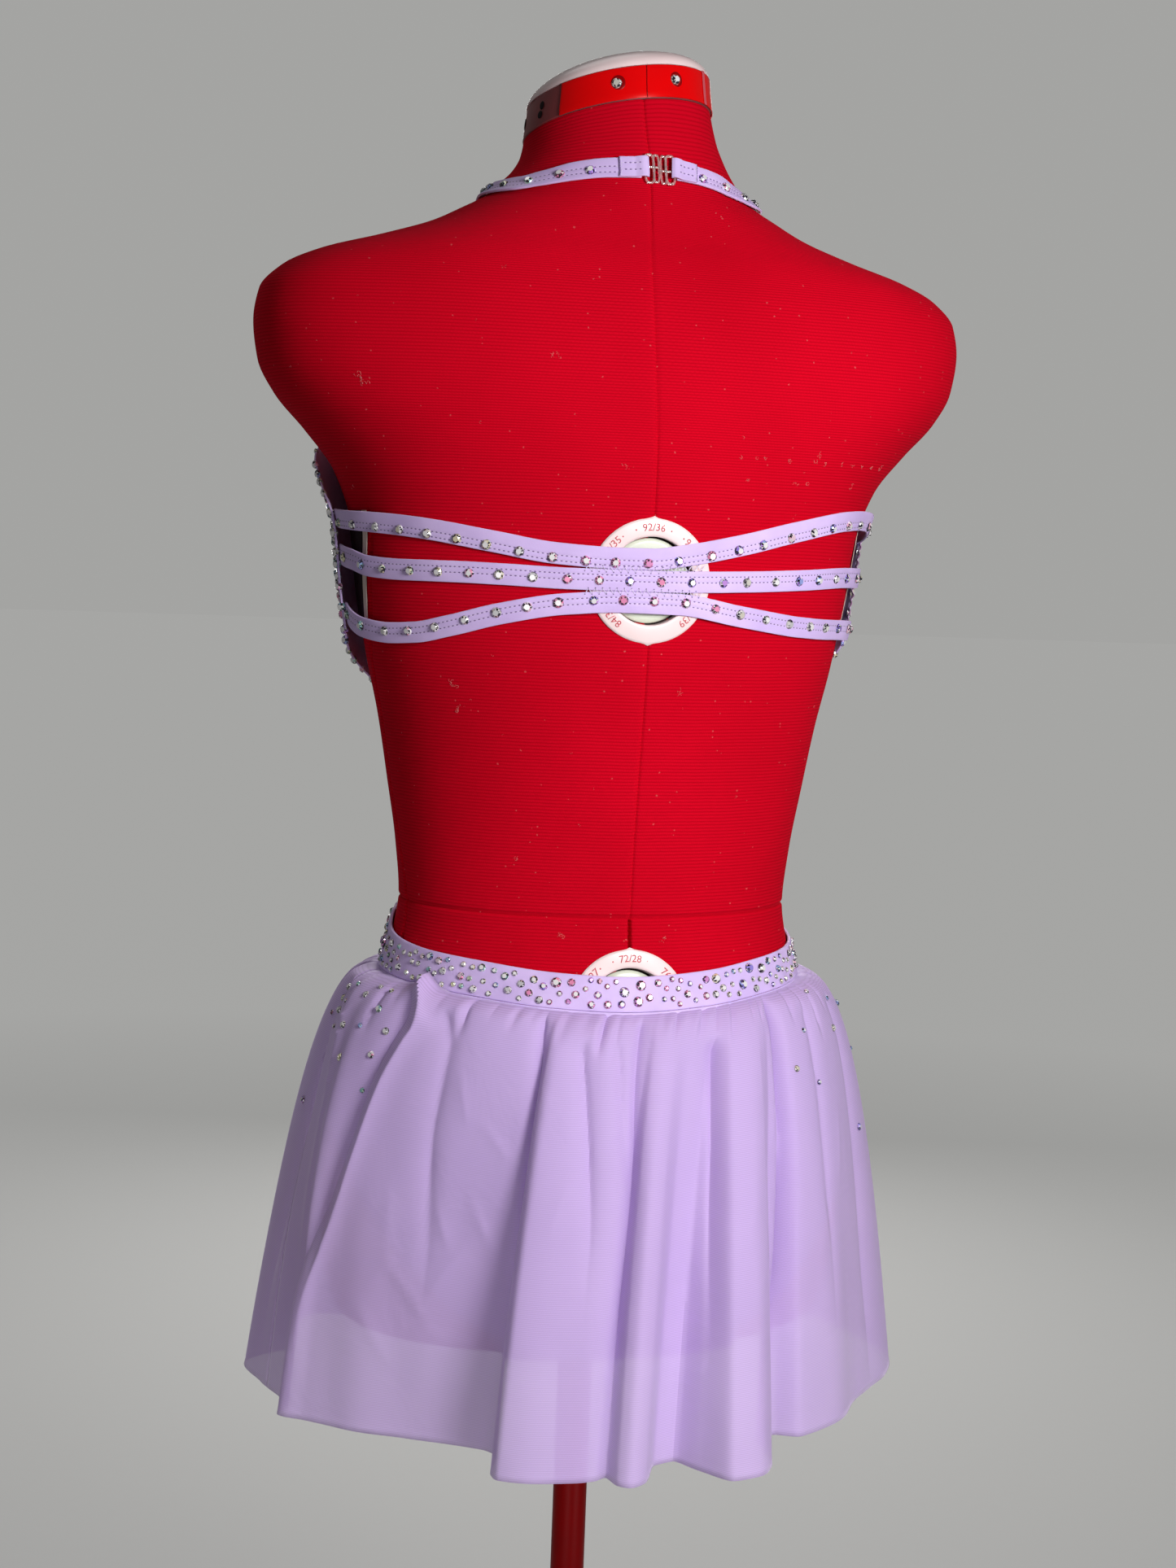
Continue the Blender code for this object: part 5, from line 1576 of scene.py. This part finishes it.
def sideRows(side, look, draw):
    # close rows of stones down the bodice's side edge
    places, normals, sizes = [], [], []
    for row, away in enumerate(look["edgeRows"]):
        lowest, highest = look["edgeLevels"]
        levels = np.arange(lowest + 0.0029 * (row % 2), highest, look["edgeStep"])
        levels = levels + drawMany(len(levels), draw.uniform, -0.0009, 0.0009)
        outer, inner = bodiceTurns(levels)
        shift = drawMany(len(levels), draw.uniform, -0.0006, 0.0006)
        shares = (away + shift) / (np.radians(inner - outer) * look["radius"])
        spots, ways = bodiceSpot(side, levels, shares, look["wall"] + 0.0002)
        if row == 0:  # the first row sits on the edge, which rolls towards the back
            toBack = unit(bodiceSpot(side, levels, shares)[0] - bodiceSpot(side, levels, shares + 0.03)[0])
            ways = unit(ways + look["edgeLean"] * toBack)
        places += list(spots)
        normals += list(ways)
        sizes += [draw.choice(look["edgeSizes"]) for _ in levels]
    return places, normals, sizes


def makeFrayedEdge(look):
    # the right side edge is cut raw and a little ragged
    draw = random.Random(13)
    steps = np.linspace(0.0, 1.0, 40)
    ragged = drawMany(len(steps), draw.uniform, 0.25, 1.0)

    def place(u, w):
        level = between(*look["frayLevels"], w)
        reach = look["frayWidth"] * np.interp(w, steps, ragged) * (1.0 - u) / look["radius"]
        outer = np.radians(bodiceTurns(level)[0])
        wave = 0.0007 * np.sin(w * 90) * (1.0 - u)
        return formSpot(level, reach - outer, bodiceOut(level, outer) + 0.0004 + wave)

    makePiece("frayedEdge", bendGrid(5, 120, place), "frayed", wall=0.0005)


makeBodice(1, "left", bodiceShape)
makeBodice(-1, "right", bodiceShape)
makeFrayedEdge(bodiceShape)


# Skirt

skirtShape = {
    "radius": 0.135, "widens": 0.055, "hemLevel": 0.643, "halfWidth": 0.206, "depth": 0.176,
    "sideFlare": 0.38, "backFlare": 0.55, "out": 0.0036, "tuckedOut": 0.0022, "seam": 0.0003, "split": 0.0002,
    "wall": 0.0004, "clearOfForm": 0.005, "standGrowth": 0.8, "columns": {"back": 400, "front": 230},
    "rows": 96, "length": 0.3, "crowd": 1.35,
    # turn at the hem, turn at the waistband, how far it stands out at the hem
    "folds": (
        (-180, -180, -0.01), (-172, -173, 0.014), (-160, -161, 0.012), (-152, -152, -0.022),
        (-144, -144, 0.01), (-130, -130, 0.015), (-121, -121, -0.016), (-112, -112, 0.012),
        (-100, -99, 0.01), (-89, -87, 0.011), (-79, -77, 0), (-64, -64, -0.016), (-48, -53, -0.011),
        (-38.5, -45, -0.013), (-35, -42.5, -0.026), (-31, -40, -0.027), (-26.5, -37.4, -0.006),
        (-23, -35.5, 0.012), (-18, -32, 0.023), (-13, -28, 0.024), (-9.5, -25, 0.004), (-6.5, -22, -0.014),
        (-2, -17, -0.011), (2.5, -12, 0.016), (5, -9.5, 0.021), (7, -7.6, 0.017), (8.8, -6, 0.004),
        (11, -3, 0.009), (15, 2, 0.013), (22, 9, 0.015), (27.5, 14.5, 0.013), (29.4, 16.4, 0.005),
        (31.4, 18.2, -0.024), (36, 23, -0.031), (44, 32.4, -0.033), (52, 43, -0.029), (63, 57, -0.018),
        (72, 66.4, -0.007), (76.4, 70.8, 0.002), (79.5, 74.5, -0.009), (84, 80, -0.01), (93, 91, -0.002),
        (103, 103, 0.01), (113, 113, -0.012), (122, 122, 0.013), (132, 132, 0.015), (140, 140, -0.02),
        (149, 149, 0.012), (161, 161, 0.015), (170, 170, -0.016), (180, 180, -0.01),
    ),
    # creases that run down the cloth: depth (negative is a ridge), width, turn at each drop
    "creases": (
        (0.0055, 0.003, ((0, 33.4), (0.13, 31.4), (0.3, 31), (0.62, 30.6))),
        (0.006, 0.0026, ((0, 10.9), (0.13, 10.3), (0.42, 8.2), (0.8, 8.8))),
        (0.003, 0.0024, ((0.05, 14.4), (0.13, 13.2), (0.3, 10.6), (0.42, 8.6))),
        (0.01, 0.0026, ((0, -32.6), (0.08, -34.8), (0.17, -35.6), (0.32, -36.6), (0.56, -36),
         (0.8, -33.5))),
        (0.0075, 0.0042, ((0.06, -8.8), (0.31, -9.9), (0.66, -10.2))),
        (-0.005, 0.0045, ((0.03, 59.2), (0.06, 58.9), (0.1, 60.2), (0.2, 63.6), (0.32, 66.2), (0.49, 69.4),
         (0.8, 74.5))),
        (0.006, 0.005, ((0.01, 63.4), (0.06, 63.4), (0.1, 64.8), (0.2, 68.2), (0.32, 70.5), (0.49, 73.5),
         (0.8, 78.5))),
        (0.0048, 0.0042, ((0.05, 22.4), (0.17, 19.9), (0.29, 17.7), (0.52, 15.4))),
        (0.0042, 0.006, ((0.02, 54), (0.11, 51.5), (0.22, 51.9), (0.35, 52.2), (0.6, 50.7))),
        (-0.003, 0.004, ((0, 84), (0.3, 80), (0.6, 82))),
        (0.004, 0.006, ((0.02, 92), (0.3, 90), (0.8, 95))),
        (0.003, 0.006, ((0.03, -50), (0.3, -50), (0.7, -51))),
        (0.0035, 0.006, ((0.03, -72), (0.3, -71), (0.9, -72))), (0.004, 0.005, ((0.02, 121), (0.7, 122))),
        (0.005, 0.004, ((0.02, 141), (0.8, 140))), (0.004, 0.005, ((0.02, 168), (0.8, 170))),
        (0.005, 0.004, ((0.02, 207), (0.8, 208))), (0.004, 0.005, ((0.02, 239), (0.7, 239))),
        (0.003, 0.005, ((0.02, 262), (0.6, 264))),
    ),
    # short puckers that start at the waistband: turn, depth, length as a share of the drop
    "puckers": (
        (50, 0.002, 0.1), (44.8, 0.0007, 0.04), (39.9, 0.0011, 0.06), (36.2, 0.0007, 0.04),
        (28, 0.0013, 0.08), (23.2, 0.0009, 0.05), (18.7, 0.0027, 0.1), (15.3, 0.001, 0.14),
        (12.8, 0.0007, 0.04), (6.1, 0.0008, 0.05), (2.4, 0.0015, 0.07), (-1, 0.0007, 0.04),
        (-4.3, 0.0017, 0.09), (-8.4, 0.001, 0.06), (-13.6, 0.0014, 0.1), (-22.2, 0.0007, 0.05),
        (-27.4, 0.001, 0.06), (-43, 0.0013, 0.08), (-50, 0.0007, 0.05), (-57, 0.0016, 0.14),
        (-65, 0.001, 0.08), (-73, 0.0007, 0.05), (-80, 0.0014, 0.12), (-86, 0.0008, 0.06),
        (56.6, 0.0008, 0.05), (68, 0.0009, 0.06), (73, 0.0018, 0.13), (79, 0.001, 0.07), (86, 0.0014, 0.1),
        (101, 0.0016, 0.12),
    ),
    "puckerWidth": 0.0016, "puckerDepth": 1.9, "frontPuckers": 22, "guideDepth": 0.005,
    # wrinkles across the broad panel: turn and drop at both ends, height, width
    "wrinkles": (
        (43.3, 0.24, 32.6, 0.36, 0.0011, 0.0028), (48.9, 0.12, 44, 0.3, 0.0009, 0.0024),
        (51.1, 0.18, 52.2, 0.4, 0.0009, 0.003), (54.5, 0.54, 63.4, 0.7, 0.0012, 0.003),
        (61.5, 0.55, 46.6, 0.77, 0.0013, 0.003), (44, 0.4, 36.2, 0.56, 0.0012, 0.0026),
        (50.7, 0.43, 44.4, 0.6, 0.001, 0.0026), (59.3, 0.38, 58.9, 0.62, 0.0009, 0.003),
        (38.5, 0.47, 53.3, 0.72, 0.0011, 0.0028), (65.2, 0.67, 55.9, 0.86, 0.0012, 0.003),
        (20, 0.3, 24.5, 0.52, 0.0008, 0.003), (-20, 0.35, -14, 0.6, 0.0009, 0.003),
        (-45.6, 0.4, -52, 0.66, 0.0009, 0.0034), (-60, 0.25, -56, 0.5, 0.0009, 0.0034),
        (130, 0.3, 120, 0.55, 0.001, 0.003), (230, 0.3, 222, 0.55, 0.001, 0.003),
    ),
    # the fold at the left that hooks over the waistband's edge: turn, height, width, length, lean
    "hook": (61.8, 0.0105, 0.0034, 0.085, 60.0),
}


def skirtRow(hemTurn):
    # the folds' table read all round, also past the centre front
    topTurn, stand = smoothTable(skirtShape["folds"], wrapTurn(np.degrees(hemTurn))).T
    return np.radians(topTurn), stand


def alongSkirt(hemTurn, turn, drop):
    # distance round the skirt from a turn in degrees
    away = np.radians(wrapTurn(np.degrees(hemTurn) - turn))
    return away * (skirtShape["radius"] + skirtShape["widens"] * drop)


def sharp(value, width):
    # a crease's outline: pointed, but not so much that the cloth breaks
    return np.exp(-(np.hypot(value, 0.0006) - 0.0006) / width)


def hookRise(hemTurn, drop):
    # steep towards the centre back, slack on the other side
    turn, rise, width, length, lean = skirtShape["hook"]
    away = alongSkirt(hemTurn, turn - lean * drop, drop)
    return rise * sharp(away, np.where(away > 0.0, 2.2, 1.0) * width) * (1.0 - ease(drop, 0.0, length))


def skirtDetail(hemTurn, drop):
    look = skirtShape
    out = 0.0005 * np.sin(hemTurn * 23 + 1.3 * np.sin(hemTurn * 5) + drop * 3.0) * ease(drop, 0.1, 0.8)
    for depth, width, line in look["creases"]:
        start, end = line[0][0], line[-1][0]
        away = alongSkirt(hemTurn, smoothTable(line, drop)[:, 0], drop)
        fade = ease(drop, start - 0.01, start + 0.04) * (1.0 - ease(drop, end - 0.25, end + 0.15))
        out -= depth * sharp(away, width) * fade
    for turn, depth, length in look["puckers"]:
        away = alongSkirt(hemTurn, turn, drop)
        lip = bell(away - 2.2 * look["puckerWidth"], 1.6 * look["puckerWidth"])
        shape = sharp(away, look["puckerWidth"]) - 0.25 * lip
        out -= look["puckerDepth"] * depth * shape * (1.0 - ease(drop, length * 0.15, length))
    for turn, drop0, turn1, drop1, height, width in look["wrinkles"]:
        part = np.clip((drop - drop0) / (drop1 - drop0), 0.0, 1.0)
        away = alongSkirt(hemTurn, between(turn, turn1, part), drop)
        ends = ease(part, 0.0, 0.5) * (1.0 - ease(part, 0.5, 1.0))
        out += 0.8 * height * sharp(away, 1.2 * width) * ends
    out += 0.45 * hookRise(hemTurn, drop)
    return out + 0.0003 * ease(drop, 0.985, 0.992)


def skirtSpot(hemTurn, drop, lift=0.0):
    look = skirtShape
    topTurn, stand = skirtRow(hemTurn)
    topLevel = bandEdges(topTurn)[0] - look["seam"]
    top = formSpot(topLevel, topTurn, look["out"] + dialRise(topLevel, topTurn))
    plain = 1.0 / np.hypot(np.sin(hemTurn) / look["halfWidth"], np.cos(hemTurn) / look["depth"])
    outward = np.stack([np.sin(hemTurn), np.cos(hemTurn)], axis=-1)
    flare = between(look["sideFlare"], look["backFlare"], np.cos(hemTurn) ** 2)
    share = (drop**flare)[:, None]
    flat = top[:, :2] * (1.0 - share) + outward * plain[:, None] * share
    tuck = (look["out"] - look["tuckedOut"]) * (1.0 - ease(drop, 0.0, 0.02))
    flat = flat + outward * (stand * drop ** look["standGrowth"] - tuck + lift)[:, None]
    height = between(topLevel, look["hemLevel"], drop)
    flat = clearForm(flat, height)
    return np.column_stack([flat, height + hookRise(hemTurn, drop)])


def clearForm(flat, height):
    # keeps the cloth off the form and the brief below the waistband
    half, back, front, power = smoothTable(formShape["sections"], height).T
    away = np.hypot(flat[:, 0], flat[:, 1])
    across, depth = np.abs(flat[:, 0]) / away, flat[:, 1] / away
    deep = np.where(depth > 0.0, back, front)
    form = ((across / half) ** power + (np.abs(depth) / deep) ** power) ** (-1.0 / power)
    least = form + skirtShape["clearOfForm"] * ease(bandShape["edges"][0][1] - height, 0.0, 0.03)
    return flat * (np.maximum(away, least) / away)[:, None]


def skirtNormal(hemTurn, drop):
    step, dropStep = radians(0.5), 0.01
    around = skirtSpot(hemTurn + step, drop) - skirtSpot(hemTurn - step, drop)
    lower, upper = np.minimum(drop + dropStep, 1.0), np.maximum(drop - dropStep, 0.0)
    down = skirtSpot(hemTurn, lower) - skirtSpot(hemTurn, upper)
    normal = unit(np.cross(around, down))
    facing = np.sign(normal[:, 0] * np.sin(hemTurn) + normal[:, 1] * np.cos(hemTurn))
    return normal * facing[:, None]


def followCreases(hemTurn, drop):
    # moves the cloth's columns with the deep creases as these run down
    lines = [line for depth, _, line in skirtShape["creases"] if abs(depth) >= skirtShape["guideDepth"]]
    lines += [((0.0, turn), (1.0, turn)) for turn in (-90.0, 90.0, 270.0)]
    lines.sort(key=lambda line: line[-1][1])
    keys = np.array([line[-1][1] for line in lines])
    shifts = np.array([smoothTable(line, drop)[:, 0] - line[-1][1] for line in lines])
    turn = np.degrees(hemTurn)
    spot = np.clip(np.searchsorted(keys, turn) - 1, 0, len(keys) - 2)
    part = (turn - keys[spot]) / (keys[spot + 1] - keys[spot])
    index = np.arange(len(turn))
    return hemTurn + np.radians((1.0 - part) * shifts[spot, index] + part * shifts[spot + 1, index])


def spreadColumns(first, last):
    # turns along the hem, closer together where creases and puckers are
    fine = np.linspace(first, last, 2401)
    steps = stepsAlong(skirtSpot(fine, np.full_like(fine, 0.85)))
    middle = (fine[1:] + fine[:-1]) / 2
    busy = np.ones_like(middle)
    for _, _, line in skirtShape["creases"]:
        busy += 2.0 * bell(alongSkirt(middle, line[-1][1], 1.0), 0.005)
    for turn, _, _ in skirtShape["puckers"]:
        busy += 0.8 * bell(alongSkirt(middle, turn, 1.0), 0.004)
    return fine, runningSum(steps), runningSum(steps * busy)


def makeSkirt(name, first, last):
    look = skirtShape
    split = look["split"] / look["halfWidth"]
    fine, hem, busy = spreadColumns(radians(first) + split, radians(last) - split)

    def place(u, w):
        drop = w ** look["crowd"]
        hemTurn = followCreases(np.interp(u * busy[-1], busy, fine), drop)
        return skirtSpot(hemTurn, drop, skirtDetail(hemTurn, drop))

    def mapping(u, w):
        return np.interp(u * busy[-1], busy, hem), w ** look["crowd"] * 0.28

    shape = bendGrid(look["columns"][name], look["rows"], place, mapping)
    piece = makePiece(f"{name}Skirt", shape, "sheer", [f"skirt_{name}"], wall=look["wall"])


def addFrontPuckers(look):
    # the front has as many puckers as the back, at places of their own
    draw = random.Random(41)
    step = 150.0 / look["frontPuckers"]
    extra = [(106.0 + step * (index + draw.uniform(0.2, 0.8)), draw.uniform(0.001, 0.0018),
              draw.uniform(0.08, 0.2)) for index in range(look["frontPuckers"])]
    look["puckers"] = (*look["puckers"], *extra)


addFrontPuckers(skirtShape)
makeSkirt("back", -90.0, 90.0)
makeSkirt("front", 90.0, 270.0)

skirtStones = {
    "tries": 1500, "sizes": (0.005, 0.005, 0.0036), "clearBack": 96.0,
    "reach": 0.62, "fade": 0.22, "most": 0.22,
    # turn, drop, size
    "placed": (
        (75.7, 0.014, 0.0036), (70.8, 0.016, 0.0036), (79, 0.037, 0.005), (71.2, 0.054, 0.005),
        (81.2, 0.11, 0.005), (74.5, 0.097, 0.0036), (67.1, 0.097, 0.005), (77.9, 0.177, 0.0055),
        (69.3, 0.154, 0.005), (70.1, 0.237, 0.0036), (94.3, 0.321, 0.005), (87.6, 0.09, 0.005),
        (85.3, 0.064, 0.0036), (89.4, 0.04, 0.005), (86.8, 0.127, 0.0036), (84, 0.022, 0.0036),
        (91, 0.07, 0.005), (93.5, 0.11, 0.0036), (-58.3, 0.016, 0.0036), (-66.8, 0.11, 0.005),
        (-46.7, 0.087, 0.0036), (-40.8, 0.164, 0.0045), (-51.2, 0.211, 0.0036), (-74.6, 0.365, 0.005),
        (-73, 0.05, 0.0036), (-83, 0.08, 0.005), (-86, 0.2, 0.0036),
    ),
}


def makeSkirtStones(look):
    draw = random.Random(71)
    tries = look["tries"]
    turns = drawMany(tries, draw.uniform, -180.0, 180.0)
    drops = drawMany(tries, draw.random) * look["reach"]
    sizes = drawMany(tries, draw.choice, look["sizes"])
    chance = drawMany(tries, draw.random)
    side = ease(np.abs(turns), look["clearBack"], look["clearBack"] + 12.0)
    good = chance < side * bell(drops, look["fade"]) * look["most"]
    placed = np.array(look["placed"])
    columns = zip(placed.T, (turns, drops, sizes))
    turns, drops, sizes = (np.concatenate([given, drawn[good]]) for given, drawn in columns)
    turns = np.radians(turns)
    normals = skirtNormal(turns, drops)
    places = skirtSpot(turns, drops, skirtDetail(turns, drops))
    spots = spaceOut(places + normals * (skirtShape["wall"] + 0.0001), normals, sizes, 0.004, draw)
    makeStones("skirtStones", spots, draw)
    print("skirt stones:", len(spots))


makeSkirtStones(skirtStones)


# Brief under the skirt

briefShape = {
    "gap": 0.0018, "bottomGap": 0.0014, "bottom": 0.706, "wall": 0.0012, "easeLow": 0.715, "easeHigh": 0.745,
    # turn, height of the leg's edge over the bottom
    "legEdge": (
        (0, 0), (26, 0), (34, 0.01), (44, 0.03), (60, 0.066), (76, 0.096), (90, 0.112), (106, 0.104),
        (122, 0.084), (138, 0.052), (150, 0.02), (158, 0), (180, 0),
    ),
    "gussetBack": 26.0, "gussetFront": 22.0, "gussetInset": 0.024, "gussetShift": 0.057, "gussetWaist": 0.52,
    "gussetBend": 0.34, "split": 0.0017, "flat": (0.47, 0.22), "gussetFlat": (0.11, 0.32),
    "stitchRows": (0.012, 0.02), "stitch": (0.0021, 0.0004, 0.0003),
}


def legEdge(turn):
    return briefShape["bottom"] + smoothTable(briefShape["legEdge"], np.abs(wrapTurn(np.degrees(turn))))[:, 0]


def briefSpot(turn, share, lift=0.0):
    level = between(legEdge(turn), bandEdges(turn)[0] - 0.0003, share)
    low = 1.0 - ease(level, briefShape["easeLow"], briefShape["easeHigh"])
    out = briefShape["gap"] + dialRise(level, turn) + briefShape["bottomGap"] * low
    return formSpot(level, turn, out + lift)


def makeBrief(name, first, last):
    start, end = radians(first) + briefShape["split"], radians(last) - briefShape["split"]

    def place(u, w):
        return briefSpot(between(start, end, u), w, 0.0005 * bell(w, 0.03))

    shape = bendGrid(120, 44, place, lambda u, w: (w * 0.2, u * 0.46))
    piece = makePiece(f"{name}Brief", shape, "lavender", [f"brief_{name}"],
                      wall=briefShape["wall"], rim=0.0003)
    spots = []
    for offset in briefShape["stitchRows"]:
        turns = np.linspace(start + 0.01, end - 0.01, 190)
        lower = legEdge(turns)
        share = offset * 0.5 / (bandEdges(turns)[0] - lower)
        places = briefSpot(turns, share, briefShape["wall"] + 0.0003)
        normals = formFrame(lower, turns)[3]
        spots += stitchRow(places, np.gradient(places, axis=0), normals, briefShape["stitch"])
    makeStitches(f"{name}BriefStitches", spots, "duskThread")


def makeGusset(look):
    out = look["gap"] + look["bottomGap"]
    flatStart = formShape["bottom"] + formShape["round"] * (1.0 - pi / 2)
    top = look["bottom"] - 0.0005
    levels = np.concatenate([np.linspace(top, flatStart, 9), [flatStart - look["gussetInset"]]])

    def place(u, w):
        # up the back edge, across under the form, and up the front edge
        across, run = u * 2 - 1, w * 3
        steps = np.arange(len(levels))
        backLevel, frontLevel = (np.interp(np.clip(up, 0.0, 1.0) * steps[-1], steps, levels)
                                 for up in (run, 3.0 - run))
        start = formSpot(backLevel, radians(look["gussetBack"]) * across, out)
        end = formSpot(frontLevel, pi - radians(look["gussetFront"]) * across, out)
        part = np.clip(run - 1.0, 0.0, 1.0)
        aside = ease(part, 0.0, look["gussetBend"]) * (1.0 - ease(part, 1.0 - look["gussetBend"], 1.0))
        sideways = between(start[:, 0], end[:, 0], ease(part, 0.0, 1.0))
        sideways = sideways * (1.0 - look["gussetWaist"] * aside) + look["gussetShift"] * aside
        under = np.column_stack([sideways, between(start[:, 1], end[:, 1], part), start[:, 2]])
        return np.where((run < 1.0)[:, None], start, np.where((run > 2.0)[:, None], end, under))

    shape = bendGrid(16, 90, place, lambda u, w: (u * 0.09, w * 0.3))
    piece = makePiece("gusset", shape, "lavender", ["brief_gusset"], wall=look["wall"])
    faceDown = sum(face.normal.z for face in piece.data.polygons)
    if faceDown > 0.0:
        piece.data.flip_normals()


makeBrief("back", -90.0, 90.0)
makeBrief("front", 90.0, 270.0)
makeGusset(briefShape)
print("brief ready")
